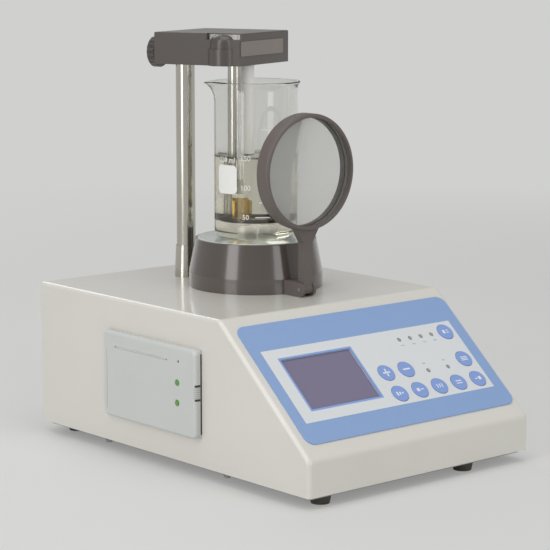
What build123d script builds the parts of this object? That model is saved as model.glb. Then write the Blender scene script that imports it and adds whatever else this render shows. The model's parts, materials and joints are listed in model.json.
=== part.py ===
from build123d import *

import math
import os

os.makedirs("parts", exist_ok=True)

# Case, measured over the outside of its bent sheet cover
case_width = 204.0
case_depth = 294.0
case_height = 103.0
lip_height = 24.0
slope_run = 90.0
sheet = 1.5
side_bend = 3.0
lip_bend = 5.0
crest_bend = 4.0
return_flange = 9.0

# Base plate and feet
base_sheet = 2.0
base_inset = 4.0
foot_height = 6.0
foot_top_radius = 7.3
foot_bottom_radius = 6.2
foot_left_inset = 21.0
foot_right_inset = 52.0
foot_front = 12.5
foot_rear = 14.0

# Pan head screws, all of one size
screw_radius = 1.5
screw_head_radius = 2.8
screw_head_height = 2.0
screw_length = 8.0
screw_clearance = 0.2
rear_screw_x = 26.0

# Running and seating clearances
seat_gap = 0.2
running_gap = 0.05
slide_gap = 0.3

# Printer on the left wall
printer_width = 103.5
printer_height = 61.0
printer_from_front = 159.3
printer_above_base = 50.0
printer_bezel = 1.2
printer_door_thick = 4.8
printer_body_width = 94.0
printer_body_height = 52.0
printer_body_depth = 44.0
printer_wall = 1.8

# Rear fittings
rear_recess = 1.0
fuse_cap_length = 10.0
fuse_cap_radius = 7.0
fuse_body_radius = 6.0
fuse_body_length = 28.0

# Frame of the whole model: the table is at zero, the case stands off centre
# by half of what the printer and the fuse cap add to its sides.
printer_proud = printer_bezel + printer_door_thick
mid_x = printer_proud / 2
front_y = -(case_depth + fuse_cap_length - rear_recess) / 2
rear_y = front_y + case_depth
cover_z = foot_height + base_sheet
deck_z = cover_z + case_height
left_wall_x = mid_x - case_width / 2

# Sloping control panel
slope_rise = case_height - lip_height
slope_length = math.hypot(slope_run, slope_rise)
slope_sine = slope_rise / slope_length
slope_cosine = slope_run / slope_length
overlay_width = 193.0
overlay_height = 99.0
overlay_shift = 2.0
overlay_up = 61.4
overlay_corner = 7.0
overlay_thick = 0.8
window_thick = 1.0
screen_width = 62.0
screen_height = 42.0
screen_x = -43.4
screen_up = 58.9
display_board_width = 78.0
display_board_height = 58.0
display_bezel_width = 72.0
display_bezel_height = 46.0
display_bezel_depth = 5.0
board_thick = 1.6

# Keys stand in one lattice on the panel
key_radius = 6.5
key_pitch = 18.75
key_first_x = 4.2
key_row_up = 36.9
key_middle_up = 55.0
key_top_up = 79.8
key_proud = 0.5
key_travel = 0.6
key_flange = 1.2
key_flange_thick = 0.8
key_stem_radius = 2.5
key_stem_length = 2.0
lamp_radius = 1.5
lamp_pitch = 10.4
lamp_first_x = 34.2
lamp_low_x = 41.4
lamp_low_pitch = 19.2
lamp_low_up = 51.0

# Stirrer cup on the deck and the beaker on its plate
cup_right = 10.4
cup_from_rear = 109.8
cup_x = mid_x + cup_right
cup_y = rear_y - cup_from_rear
cup_height = 34.9
cup_base_radius = 48.4
cup_band_height = 10.6
cup_top_radius = 43.7
cup_wall = 2.5
cup_rim = 1.2
cup_ledge = 3.0
plate_thick = 3.4
plate_proud = 0.4
beaker_radius = 30.0
beaker_height = 112.0
beaker_wall = 1.5
beaker_heel = 6.0
beaker_rim_radius = 33.0
beaker_rim_height = 5.0
spout_angle = 139.2
spout_reach = 29.5
spout_tip_radius = 6.0
spout_root_radius = 2.6
spout_drop = 10.0
stir_bar_radius = 3.5
stir_bar_length = 25.0
stir_bar_ring = 0.8

# Stirrer drive under the deck
motor_radius = 18.5
motor_height = 28.0
motor_drop = 22.0
motor_boss_radius = 6.0
motor_boss_height = 3.0
shaft_radius = 2.0
shaft_grip = 14.0
rotor_radius = 26.0
rotor_thick = 8.0
rotor_hub_radius = 7.0
rotor_hub_height = 10.0
rotor_gap = 3.0
magnet_radius = 5.0
magnet_thick = 4.0
magnet_offset = 17.0
bracket_width = 46.0
bracket_span = 58.0
bracket_foot = 12.0

# Post that slides through its collar, and the swinging head on top of it
post_left = 3.8
post_from_rear = 46.7
post_x = mid_x - post_left
post_y = rear_y - post_from_rear
post_radius = 7.0
post_wall = 1.5
post_foot_gap = 1.5
post_into_head = 18.0
collar_height = 23.5
collar_base_radius = 8.8
collar_top_radius = 7.6
guide_wall = 3.0
guide_flange_radius = 16.0
guide_flange_thick = 4.0
head_turn = 21.0
head_above_deck = 158.1
head_height = 23.0
head_left = 25.8
head_right = 47.7
head_front = 60.0
head_rear = 10.5
head_wall = 2.5
head_edge = 1.0
head_boss_radius = 10.0
head_boss_inset = 5.5
head_boss_back = 15.6
head_boss_skirt = 1.4
head_boss_skirt_height = 12.0
head_boss_dome = 6.0
head_step_depth = 4.5
head_step_length = 27.0
head_step_width = 3.0
clamp_boss_radius = 12.0
rear_boss_radius = 7.0
rear_boss_length = 6.0
label_left = 1.5
label_right = 9.0
label_height = 10.6
label_up = 6.8
label_sunk = 0.6
label_thick = 1.0

# Clamp knob behind the head
knob_radius = 11.4
knob_thick = 7.0
knob_gap = 3.0
knob_drop = 4.0
knob_flutes = 18
knob_flute_radius = 0.9
knob_neck_radius = 4.5
clamp_screw_radius = 2.5

# What hangs from the head into the beaker
heater_sleeve_radius = 5.0
heater_sleeve_wall = 0.7
heater_sleeve_x = -18.8
heater_sleeve_y = -52.0
heater_sleeve_length = 67.0
heater_tube_radius = 1.6
heater_ring_radius = 23.0
heater_ring_up = 14.0
heater_leg_pitch = 4.4
heater_bend = 3.0
sleeve_into_head = 12.0
probe_sleeve_radius = 6.25
probe_sleeve_wall = 1.2
probe_sleeve_x = -1.0
probe_sleeve_y = -51.1
probe_sleeve_length = 64.0
probe_radius = 2.0
holder_radius = 5.75
holder_height = 15.0
holder_above_glass = 11.6
holder_groove = 0.9
holder_shoulder = 2.0
cap_radius = 3.6
cap_height = 2.4
capillary_ways = 3

# Magnifier in front of the cup
glass_right = 3.0
glass_from_cup = 62.2
glass_x = mid_x + glass_right
glass_y = cup_y - glass_from_cup
glass_above_deck = 87.8
glass_ring_radius = 40.7
glass_view_radius = 37.9
glass_ring_depth = 12.0
lens_radius = 39.0
lens_edge = 3.0
lens_bulge = 2.6
stem_width = 8.0
stem_depth = 6.0
hinge_up = 5.2
hinge_pin_radius = 1.2
knuckle_radius = 3.6
ear_thick = 1.9
ear_gap = 0.2
neck_width = 24.0
neck_fall = 9.0
bracket_height = 11.0

# Mains side of the case
inlet_x = -62.0
inlet_width = 27.0
inlet_height = 20.0
inlet_flange_width = 48.0
inlet_flange_height = 23.0
inlet_flange_thick = 2.5
inlet_depth = 20.0
inlet_screw_pitch = 40.0
inlet_wall = 2.0
inlet_pin_width = 2.0
inlet_pin_height = 4.0
inlet_pin_pitch = 7.0
rocker_x = -22.0
rocker_width = 19.0
rocker_height = 12.8
rocker_frame_width = 24.0
rocker_frame_height = 18.0
rocker_frame_proud = 2.0
rocker_depth = 16.0
rocker_wall = 1.2
rocker_swing = 10.0
fuse_x = 6.0
rear_row_up = 34.0
vent_count = 8
vent_pitch = 7.0
vent_length = 34.0
vent_width = 2.6
vent_x = 56.0
vent_up = 66.0

# Printer door on its hinge, and what stands behind it
door_axis_inset = 2.0
door_axis_rise = 1.6
door_edge = 2.6
door_corner = 4.0
door_wall = 2.2
door_face = 1.6
door_hinge_block = 5.0
bezel_cut_back = 6.0
lug_length = 5.0
lug_offset = 22.0
lug_radius = 1.5
lug_pin_radius = 0.8
lug_pin_length = 2.5
slit_length = 59.0
slit_width = 1.0
slit_x = -7.7
slit_up = 20.1
face_line_x = -46.6
face_line_low = -24.5
face_line_high = 17.5
face_line_width = 0.6
face_line_depth = 0.3
lamp_x = 34.0
lamp_up = 20.6
door_lamp_radius = 0.9
door_key_x = 32.7
door_key_radius = 2.1
door_key_flange = 0.9
door_key_proud = 0.3
door_key_ups = {"printer_key_feed": 5.9, "printer_key_select": -8.0}
latch_ups = (6.1, -3.5)
latch_slot = 1.2
latch_reach = 2.4
platen_radius = 4.5
platen_shaft_radius = 1.5
platen_up = 17.0
platen_depth = 7.5
cheek_thick = 3.0
cheek_back = 15.3
cheek_front = 2.0
cheek_low = 10.0
head_bar_thick = 3.0
roll_radius = 16.0
roll_width = 57.0
roll_up = -7.0
roll_depth = 21.0
spindle_radius = 5.0

# Mains transformer and control board on the base plate
core_x = 50.0
core_from_rear = 79.0
core_length = 57.0
core_depth = 24.0
core_height = 48.0
coil_depth = 44.0
coil_width = 36.0
coil_height = 30.0
core_foot = 9.0
board_from_front = 62.0
board_x = 18.0
board_width = 120.0
board_length = 76.0
board_up = 8.0
spacer_radius = 3.0
board_margin = 5.0
sink_width = 42.0
sink_depth = 14.0
sink_height = 24.0
sink_slot = 2.0
sink_slots = 6
capacitor_radius = 6.0
capacitor_height = 16.0
terminal_width = 30.0
terminal_depth = 9.0
terminal_height = 11.0

side_plane = Plane(origin=(mid_x, front_y, cover_z), x_dir=(0, 1, 0), z_dir=(1, 0, 0))
slope_plane = Plane(
    origin=(mid_x, front_y, cover_z + lip_height),
    x_dir=(1, 0, 0),
    z_dir=(0, -slope_sine, slope_cosine),
)
slope_axis = Axis(slope_plane.origin, slope_plane.z_dir)
wall_plane = Plane(
    origin=(left_wall_x, front_y + printer_from_front, cover_z + printer_above_base),
    x_dir=(0, -1, 0),
    z_dir=(-1, 0, 0),
)
rear_plane = Plane(
    origin=(mid_x, rear_y - rear_recess, cover_z), x_dir=(-1, 0, 0), z_dir=(0, 1, 0)
)
head_plane = Plane(
    origin=(post_x, post_y, deck_z + head_above_deck),
    x_dir=(math.cos(math.radians(head_turn)), math.sin(math.radians(head_turn)), 0),
    z_dir=(0, 0, 1),
)
cup_plane = Plane(origin=(cup_x, cup_y, deck_z), z_dir=(0, 0, 1))

key_places = {
    "key_plus": (key_first_x, key_middle_up),
    "key_minus": (key_first_x + key_pitch, key_middle_up),
    "key_right_top": (key_first_x + 4 * key_pitch, key_top_up),
    "key_right_middle": (key_first_x + 4 * key_pitch, key_middle_up),
}
for column in range(5):
    key_places[f"key_row_{column + 1}"] = (key_first_x + column * key_pitch, key_row_up)
key_centres = list(key_places.values())
lamp_centres = [(lamp_first_x + n * lamp_pitch, key_top_up) for n in range(4)]
lamp_centres += [(lamp_low_x + n * lamp_low_pitch, lamp_low_up) for n in range(2)]

foot_left_x = left_wall_x + foot_left_inset
foot_right_x = left_wall_x + case_width - foot_right_inset
foot_places = {
    "foot_front_left": (foot_left_x, front_y + foot_front),
    "foot_front_right": (foot_right_x, front_y + foot_front),
    "foot_rear_left": (foot_left_x, rear_y - foot_rear),
    "foot_rear_right": (foot_right_x, rear_y - foot_rear),
}
foot_centres = list(foot_places.values())
seam_x = case_width / 2 - sheet - return_flange / 2
cover_screw_centres = [
    (mid_x + side * seam_x, front_y + share * case_depth)
    for side in (-1, 1)
    for share in (0.3, 0.75)
]
rear_screw_y = rear_y - rear_recess - sheet - return_flange / 2
cover_screw_centres += [(mid_x + side * rear_screw_x, rear_screw_y) for side in (-1, 1)]
screw_hole_radius = screw_radius + screw_clearance

# The cover is one sheet bent over lip, slope and deck, with its ends closed.
with BuildPart() as case_cover:
    with BuildSketch(side_plane):
        with BuildLine():
            Polyline(
                (0, 0),
                (0, lip_height),
                (slope_run, case_height),
                (case_depth, case_height),
                (case_depth, 0),
                close=True,
            )
        make_face()
    extrude(amount=case_width / 2, both=True)
    bend_edges = case_cover.edges().filter_by(Axis.X)
    lip_edge = bend_edges.sort_by_distance((mid_x, front_y, cover_z + lip_height))[0]
    crest_edge = bend_edges.sort_by_distance((mid_x, front_y + slope_run, deck_z))[0]
    fillet(lip_edge, lip_bend)
    crest_edge = case_cover.edges().filter_by(Axis.X).sort_by_distance(
        (mid_x, front_y + slope_run, deck_z)
    )[0]
    fillet(crest_edge, crest_bend)
    end_edges = [
        edge
        for end in case_cover.faces().filter_by(Axis.X)
        for edge in end.edges()
        if edge.center().Z > cover_z + sheet and edge.center().Y < rear_y - sheet
    ]
    fillet(end_edges, side_bend)
    open_faces = [
        case_cover.faces().sort_by(Axis.Z)[0],
        case_cover.faces().sort_by(Axis.Y)[-1],
    ]
    offset(amount=-sheet, openings=open_faces)
    # Return flange that the base plate is screwed to
    with BuildSketch(Plane.XY.offset(cover_z)):
        with Locations((mid_x, front_y + case_depth / 2)):
            Rectangle(case_width - sheet, case_depth - sheet)
            Rectangle(
                case_width - 2 * (sheet + return_flange),
                case_depth - 2 * (sheet + return_flange),
                mode=Mode.SUBTRACT,
            )
        with Locations(*cover_screw_centres):
            Circle(screw_hole_radius, mode=Mode.SUBTRACT)
    extrude(amount=sheet)
    # Screen, keys and lamps come through the slope
    with BuildSketch(slope_plane):
        with Locations((screen_x, screen_up)):
            Rectangle(screen_width, screen_height)
        with Locations(*key_centres):
            Circle(key_radius + slide_gap)
        with Locations(*lamp_centres):
            Circle(lamp_radius + seat_gap)
    extrude(amount=2 * sheet, both=True, mode=Mode.SUBTRACT)
    # Printer body goes in through the left wall
    with BuildSketch(wall_plane):
        Rectangle(printer_body_width + 2 * seat_gap, printer_body_height + 2 * seat_gap)
    extrude(amount=2 * sheet, both=True, mode=Mode.SUBTRACT)
    # Stirrer shaft and post go down through the deck
    with BuildSketch(Plane.XY.offset(deck_z - 2 * sheet)):
        with Locations((cup_x, cup_y)):
            Circle(motor_boss_radius + 2 * seat_gap)
        with Locations((post_x, post_y)):
            Circle(post_radius + slide_gap)
    extrude(amount=4 * sheet, mode=Mode.SUBTRACT)
case_cover.part.label = "case_cover"
export_step(case_cover.part, "parts/case_cover.step")

# Base plate closes the case from below
with BuildPart() as base_plate:
    with BuildSketch(Plane.XY.offset(foot_height)):
        with Locations((mid_x, front_y + case_depth / 2)):
            RectangleRounded(
                case_width - 2 * base_inset, case_depth - 2 * base_inset, side_bend
            )
        with Locations(*foot_centres, *cover_screw_centres):
            Circle(screw_hole_radius, mode=Mode.SUBTRACT)
        with Locations((mid_x + vent_x, front_y + case_depth / 4)):
            with GridLocations(0, 2 * vent_pitch, 1, 4):
                SlotOverall(vent_length, vent_width, mode=Mode.SUBTRACT)
    extrude(amount=base_sheet)
base_plate.part.label = "base_plate"
export_step(base_plate.part, "parts/base_plate.step")

# Rear panel stands between the cover's walls on a flange of its own
panel_width = case_width - 2 * (sheet + seat_gap)
panel_height = case_height - 2 * (sheet + seat_gap)
panel_foot = sheet + seat_gap
with BuildPart() as rear_panel:
    with BuildSketch(rear_plane):
        with Locations((0, panel_foot + panel_height / 2)):
            Rectangle(panel_width, panel_height)
    extrude(amount=-sheet)
    upper_corners = rear_panel.edges().filter_by(Axis.Y).group_by(Axis.Z)[-1]
    fillet(upper_corners, side_bend - sheet)
    with BuildSketch(Plane.XY.offset(cover_z + panel_foot)):
        with Locations((mid_x, rear_y - rear_recess - (sheet + return_flange) / 2)):
            Rectangle(panel_width - 2 * side_bend, sheet + return_flange)
        with Locations(*cover_screw_centres[-2:]):
            Circle(screw_hole_radius, mode=Mode.SUBTRACT)
    extrude(amount=sheet)
    with BuildSketch(rear_plane):
        with Locations((-inlet_x, rear_row_up)):
            Rectangle(inlet_width + 2 * seat_gap, inlet_height + 2 * seat_gap)
            with GridLocations(inlet_screw_pitch, 0, 2, 1):
                Circle(screw_hole_radius)
        with Locations((-rocker_x, rear_row_up)):
            Rectangle(
                rocker_width + 2 * (rocker_wall + seat_gap),
                rocker_height + 2 * (rocker_wall + seat_gap),
            )
        with Locations((-fuse_x, rear_row_up)):
            Circle(fuse_body_radius + seat_gap)
        with Locations((-vent_x, vent_up)):
            with GridLocations(vent_pitch, 0, vent_count, 1):
                SlotOverall(vent_length, vent_width, rotation=90)
    extrude(amount=-2 * sheet, mode=Mode.SUBTRACT)
rear_panel.part.label = "rear_panel"
export_step(rear_panel.part, "parts/rear_panel.step")

# Rubber feet, each with a pocket that hides its screw head
foot_roof = foot_height - screw_head_height - screw_clearance
for foot_name, (foot_x, foot_y) in foot_places.items():
    with BuildPart() as foot:
        with BuildSketch(Plane(origin=(foot_x, foot_y, 0), x_dir=(1, 0, 0), z_dir=(0, -1, 0))):
            with BuildLine():
                Polyline(
                    (screw_head_radius + screw_clearance, 0),
                    (foot_bottom_radius, 0),
                    (foot_top_radius, foot_height),
                    (screw_hole_radius, foot_height),
                    (screw_hole_radius, foot_roof),
                    (screw_head_radius + screw_clearance, foot_roof),
                    close=True,
                )
            make_face()
        revolve(axis=Axis((foot_x, foot_y, 0), (0, 0, 1)))
    foot.part.label = foot_name
    export_step(foot.part, f"parts/{foot_name}.step")

# One size of screw holds the feet and the cover
screw_seats = [(x, y, foot_roof) for x, y in foot_centres]
screw_seats += [(x, y, foot_height) for x, y in cover_screw_centres]
with BuildPart() as case_screws:
    for seat_x, seat_y, seat_z in screw_seats:
        with BuildSketch(Plane.XY.offset(seat_z)):
            with Locations((seat_x, seat_y)):
                Circle(screw_head_radius)
        extrude(amount=-screw_head_height, taper=20)
        with BuildSketch(Plane.XY.offset(seat_z)):
            with Locations((seat_x, seat_y)):
                Circle(screw_radius)
        extrude(amount=screw_length)
case_screws.part.label = "case_screws"
export_step(case_screws.part, "parts/case_screws.step")

# Printed overlay on the slope, cut for screen, keys and lamps
with BuildPart() as control_overlay:
    with BuildSketch(slope_plane):
        with Locations((overlay_shift, overlay_up)):
            RectangleRounded(overlay_width, overlay_height, overlay_corner)
        with Locations((screen_x, screen_up)):
            Rectangle(screen_width, screen_height, mode=Mode.SUBTRACT)
        with Locations(*key_centres):
            Circle(key_radius + slide_gap, mode=Mode.SUBTRACT)
        with Locations(*lamp_centres):
            Circle(lamp_radius + seat_gap, mode=Mode.SUBTRACT)
    extrude(amount=overlay_thick)
control_overlay.part.label = "control_overlay"
export_step(control_overlay.part, "parts/control_overlay.step")

# Clear window lies in the cut-out below the overlay, on the bezel of the display
with BuildPart() as screen_window:
    with BuildSketch(slope_plane.offset(-sheet)):
        with Locations((screen_x, screen_up)):
            Rectangle(screen_width - 2 * seat_gap, screen_height - 2 * seat_gap)
    extrude(amount=window_thick)
screen_window.part.label = "screen_window"
export_step(screen_window.part, "parts/screen_window.step")

with BuildPart() as display_module:
    with BuildSketch(slope_plane.offset(-sheet)):
        with Locations((screen_x, screen_up)):
            Rectangle(display_bezel_width, display_bezel_height)
    extrude(amount=-display_bezel_depth)
    with BuildSketch(slope_plane.offset(-sheet)):
        with Locations((screen_x, screen_up)):
            Rectangle(screen_width - 4 * sheet, screen_height - 4 * sheet)
    extrude(amount=-sheet / 2, mode=Mode.SUBTRACT)
    with BuildSketch(slope_plane.offset(-sheet - display_bezel_depth)):
        with Locations((screen_x, screen_up)):
            Rectangle(display_board_width, display_board_height)
            with GridLocations(
                display_board_width - 3 * sheet, display_board_height - 3 * sheet, 2, 2
            ):
                Circle(screw_hole_radius, mode=Mode.SUBTRACT)
    extrude(amount=-board_thick)
display_module.part.label = "display_module"
export_step(display_module.part, "parts/display_module.step")

# Keys: cap, flange under the sheet and stem over a tact switch
key_flange_top = -sheet - seat_gap / 2
key_flange_bottom = key_flange_top - key_flange_thick
key_stem_bottom = key_flange_bottom - key_stem_length
for key_name, key_place in key_places.items():
    key_plane = Plane(
        origin=slope_plane.from_local_coords((*key_place, 0)),
        x_dir=slope_plane.x_dir,
        z_dir=slope_plane.z_dir,
    )
    with BuildPart() as key:
        with BuildSketch(key_plane.offset(key_flange_top)):
            Circle(key_radius)
        extrude(amount=overlay_thick + key_proud - key_flange_top)
        cap_edge = key.edges().filter_by(GeomType.CIRCLE).sort_by(slope_axis)[-1]
        fillet(cap_edge, key_proud / 2)
        with BuildSketch(key_plane.offset(key_flange_bottom)):
            Circle(key_radius + key_flange)
        extrude(amount=key_flange_thick)
        with BuildSketch(key_plane.offset(key_stem_bottom)):
            Circle(key_stem_radius)
        extrude(amount=key_stem_length)
    key.part.label = key_name
    export_step(key.part, f"parts/{key_name}.step")

# Board under the keys with a switch below each stem
switch_top = key_stem_bottom - key_travel
switch_height = 3.0
key_board_top = switch_top - switch_height
switch_side = 6.0
key_board_left = key_first_x - switch_side / 2 - 1
key_board_right = key_first_x + 4 * key_pitch + switch_side
key_board_low = key_row_up - switch_side
key_board_high = key_top_up + switch_side
with BuildPart() as key_board:
    with BuildSketch(slope_plane.offset(key_board_top)):
        with Locations(
            ((key_board_left + key_board_right) / 2, (key_board_low + key_board_high) / 2)
        ):
            Rectangle(key_board_right - key_board_left, key_board_high - key_board_low)
    extrude(amount=-board_thick)
    with BuildSketch(slope_plane.offset(key_board_top)):
        with Locations(*key_centres):
            Rectangle(switch_side, switch_side)
    extrude(amount=switch_height / 2)
    with BuildSketch(slope_plane.offset(key_board_top)):
        with Locations(*key_centres):
            Circle(key_stem_radius)
    extrude(amount=switch_height)
key_board.part.label = "key_board"
export_step(key_board.part, "parts/key_board.step")

# Lamps reach from the board up to the overlay
with BuildPart() as indicator_lamps:
    with BuildSketch(slope_plane.offset(key_board_top)):
        with Locations(*lamp_centres):
            Circle(lamp_radius)
    extrude(amount=overlay_thick - key_board_top)
    lamp_tops = indicator_lamps.edges().group_by(slope_axis)[-1]
    fillet(lamp_tops, lamp_radius / 2)
indicator_lamps.part.label = "indicator_lamps"
export_step(indicator_lamps.part, "parts/indicator_lamps.step")

# Boards hang on spacers from the underside of the slope
with BuildPart() as panel_spacers:
    with BuildSketch(slope_plane.offset(-sheet)):
        with Locations((screen_x, screen_up)):
            with GridLocations(
                display_board_width - 3 * sheet, display_board_height - 3 * sheet, 2, 2
            ):
                Circle(2 * screw_radius)
    extrude(amount=-display_bezel_depth)
    with BuildSketch(slope_plane.offset(-sheet)):
        with Locations(
            (key_board_left + 2 * screw_radius, key_board_high - 2 * screw_radius),
            (key_first_x + 0.5 * key_pitch, (key_row_up + key_middle_up) / 2),
            (key_first_x + 3.5 * key_pitch, (key_row_up + key_middle_up) / 2),
            (key_first_x + 2.5 * key_pitch, key_middle_up + key_pitch / 2),
        ):
            Circle(2 * screw_radius)
    extrude(amount=key_board_top + sheet)
panel_spacers.part.label = "panel_spacers"
export_step(panel_spacers.part, "parts/panel_spacers.step")

# Cup: a straight band, then a cone up to a narrow rim around the plate
plate_radius = cup_top_radius - cup_rim
with BuildPart() as stirrer_cup:
    with BuildSketch(Plane(origin=cup_plane.origin, x_dir=(1, 0, 0), z_dir=(0, -1, 0))):
        with BuildLine():
            Polyline(
                (cup_base_radius, 0),
                (cup_base_radius, cup_band_height),
                (cup_top_radius, cup_height),
                (plate_radius, cup_height),
                (plate_radius, cup_height + plate_proud - plate_thick),
                (plate_radius - cup_ledge, cup_height + plate_proud - plate_thick),
                (plate_radius - cup_ledge, cup_height - 2 * plate_thick),
                (cup_base_radius - cup_wall, cup_band_height),
                (cup_base_radius - cup_wall, 0),
                close=True,
            )
        make_face()
    revolve(axis=Axis(cup_plane.origin, (0, 0, 1)))
    rim_edge = stirrer_cup.edges().filter_by(GeomType.CIRCLE).group_by(Axis.Z)[-1]
    fillet(rim_edge.sort_by(SortBy.RADIUS)[-1], cup_rim / 2)
stirrer_cup.part.label = "stirrer_cup"
export_step(stirrer_cup.part, "parts/stirrer_cup.step")

plate_top_z = deck_z + cup_height + plate_proud
with BuildPart() as cup_plate:
    with BuildSketch(Plane.XY.offset(plate_top_z)):
        with Locations((cup_x, cup_y)):
            Circle(plate_radius - seat_gap)
    extrude(amount=-plate_thick)
    chamfer(cup_plate.edges().group_by(Axis.Z)[-1], plate_proud / 2)
cup_plate.part.label = "cup_plate"
export_step(cup_plate.part, "parts/cup_plate.step")

# Beaker: a tall glass with a flared rim and a drawn spout
beaker_side = Plane(origin=(cup_x, cup_y, plate_top_z), x_dir=(1, 0, 0), z_dir=(0, -1, 0))
spout_x = cup_x + spout_reach * math.cos(math.radians(spout_angle))
spout_y = cup_y + spout_reach * math.sin(math.radians(spout_angle))
spout_root_x = cup_x + (beaker_radius - spout_root_radius) * math.cos(math.radians(spout_angle))
spout_root_y = cup_y + (beaker_radius - spout_root_radius) * math.sin(math.radians(spout_angle))
beaker_top_z = plate_top_z + beaker_height
with BuildPart() as beaker:
    with BuildSketch(beaker_side):
        with BuildLine():
            l1 = Line((0, 0), (beaker_radius - beaker_heel, 0))
            l2 = TangentArc(l1 @ 1, (beaker_radius, beaker_heel), tangent=l1 % 1)
            l3 = Line(l2 @ 1, (beaker_radius, beaker_height - beaker_rim_height))
            l4 = TangentArc(l3 @ 1, (beaker_rim_radius, beaker_height), tangent=l3 % 1)
            l5 = Line(l4 @ 1, (beaker_rim_radius - beaker_wall, beaker_height))
            l6 = Line(l5 @ 1, (beaker_radius - beaker_wall, beaker_height - beaker_rim_height))
            l7 = Line(l6 @ 1, (beaker_radius - beaker_wall, beaker_heel))
            l8 = Line((0, beaker_wall), (beaker_radius - beaker_heel, beaker_wall))
            l9 = TangentArc(l8 @ 1, l7 @ 1, tangent=l8 % 1)
            l10 = Line(l8 @ 0, l1 @ 0)
        make_face()
    revolve(axis=Axis((cup_x, cup_y, 0), (0, 0, 1)))
    for spout_shrink, spout_mode in ((0, Mode.ADD), (beaker_wall, Mode.SUBTRACT)):
        with BuildSketch(Plane.XY.offset(beaker_top_z - spout_drop)):
            with Locations((spout_root_x, spout_root_y)):
                Circle(spout_root_radius - 0.6 * spout_shrink)
        with BuildSketch(Plane.XY.offset(beaker_top_z)):
            with Locations((spout_x, spout_y)):
                Circle(spout_tip_radius - spout_shrink)
        loft(mode=spout_mode)
    # The hollow of the glass stays clear of the spout's inner half
    with BuildSketch(Plane.XY.offset(beaker_top_z - 2 * spout_drop)):
        with Locations((cup_x, cup_y)):
            Circle(beaker_radius - beaker_wall)
    extrude(amount=2 * spout_drop, mode=Mode.SUBTRACT)
beaker.part.label = "beaker"
export_step(beaker.part, "parts/beaker.step")

# Stirring bar: a capsule with a pivot ring, lying in the glass
stir_bar_z = plate_top_z + beaker_wall + stir_bar_radius + stir_bar_ring + seat_gap
with BuildPart() as stir_bar:
    with BuildSketch(Plane(origin=(cup_x, cup_y, stir_bar_z), x_dir=(1, 0, 0), z_dir=(0, -1, 0))):
        with Locations((0, 0)):
            SlotOverall(stir_bar_length, 2 * stir_bar_radius)
            Rectangle(
                stir_bar_radius, 2 * (stir_bar_radius + stir_bar_ring)
            )
        with Locations((0, -stir_bar_length / 2)):
            Rectangle(2 * stir_bar_length, stir_bar_length, mode=Mode.SUBTRACT)
    revolve(axis=Axis((cup_x, cup_y, stir_bar_z), (1, 0, 0)))
stir_bar.part.label = "stir_bar"
export_step(stir_bar.part, "parts/stir_bar.step")

# Stirrer drive: rotor on its shaft under the plate, motor in a hanging bracket
rotor_top_z = plate_top_z - plate_thick - rotor_gap
motor_top_z = deck_z - motor_drop
rotor_side = Plane(origin=(cup_x, cup_y, 0), x_dir=(1, 0, 0), z_dir=(0, -1, 0))
with BuildPart() as magnet_rotor:
    with BuildSketch(rotor_side):
        with BuildLine():
            Polyline(
                (0, rotor_top_z),
                (rotor_radius, rotor_top_z),
                (rotor_radius, rotor_top_z - rotor_thick),
                (rotor_hub_radius, rotor_top_z - rotor_thick),
                (rotor_hub_radius, rotor_top_z - rotor_thick - rotor_hub_height),
                (shaft_radius, rotor_top_z - rotor_thick - rotor_hub_height),
                (shaft_radius, motor_top_z - shaft_grip),
                (0, motor_top_z - shaft_grip),
                close=True,
            )
        make_face()
    revolve(axis=Axis((cup_x, cup_y, 0), (0, 0, 1)))
    with BuildSketch(Plane.XY.offset(rotor_top_z)):
        with Locations((cup_x, cup_y)):
            with GridLocations(2 * magnet_offset, 0, 2, 1):
                Circle(magnet_radius)
    extrude(amount=-magnet_thick, mode=Mode.SUBTRACT)
    # Two magnets lie in the rotor's pockets
    with BuildSketch(Plane.XY.offset(rotor_top_z)):
        with Locations((cup_x, cup_y)):
            with GridLocations(2 * magnet_offset, 0, 2, 1):
                Circle(magnet_radius - seat_gap)
    extrude(amount=seat_gap - magnet_thick)
magnet_rotor.part.label = "magnet_rotor"
export_step(magnet_rotor.part, "parts/magnet_rotor.step")

with BuildPart() as stirrer_motor:
    with BuildSketch(Plane.XY.offset(motor_top_z)):
        with Locations((cup_x, cup_y)):
            Circle(motor_radius)
    extrude(amount=-motor_height)
    fillet(stirrer_motor.edges().group_by(Axis.Z)[0], side_bend)
    with BuildSketch(Plane.XY.offset(motor_top_z)):
        with Locations((cup_x, cup_y)):
            Circle(motor_boss_radius)
    extrude(amount=motor_boss_height)
    with BuildSketch(Plane.XY.offset(motor_top_z + motor_boss_height)):
        with Locations((cup_x, cup_y)):
            Circle(shaft_radius + running_gap)
    extrude(amount=-motor_boss_height - shaft_grip - seat_gap, mode=Mode.SUBTRACT)
stirrer_motor.part.label = "stirrer_motor"
export_step(stirrer_motor.part, "parts/stirrer_motor.step")

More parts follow.
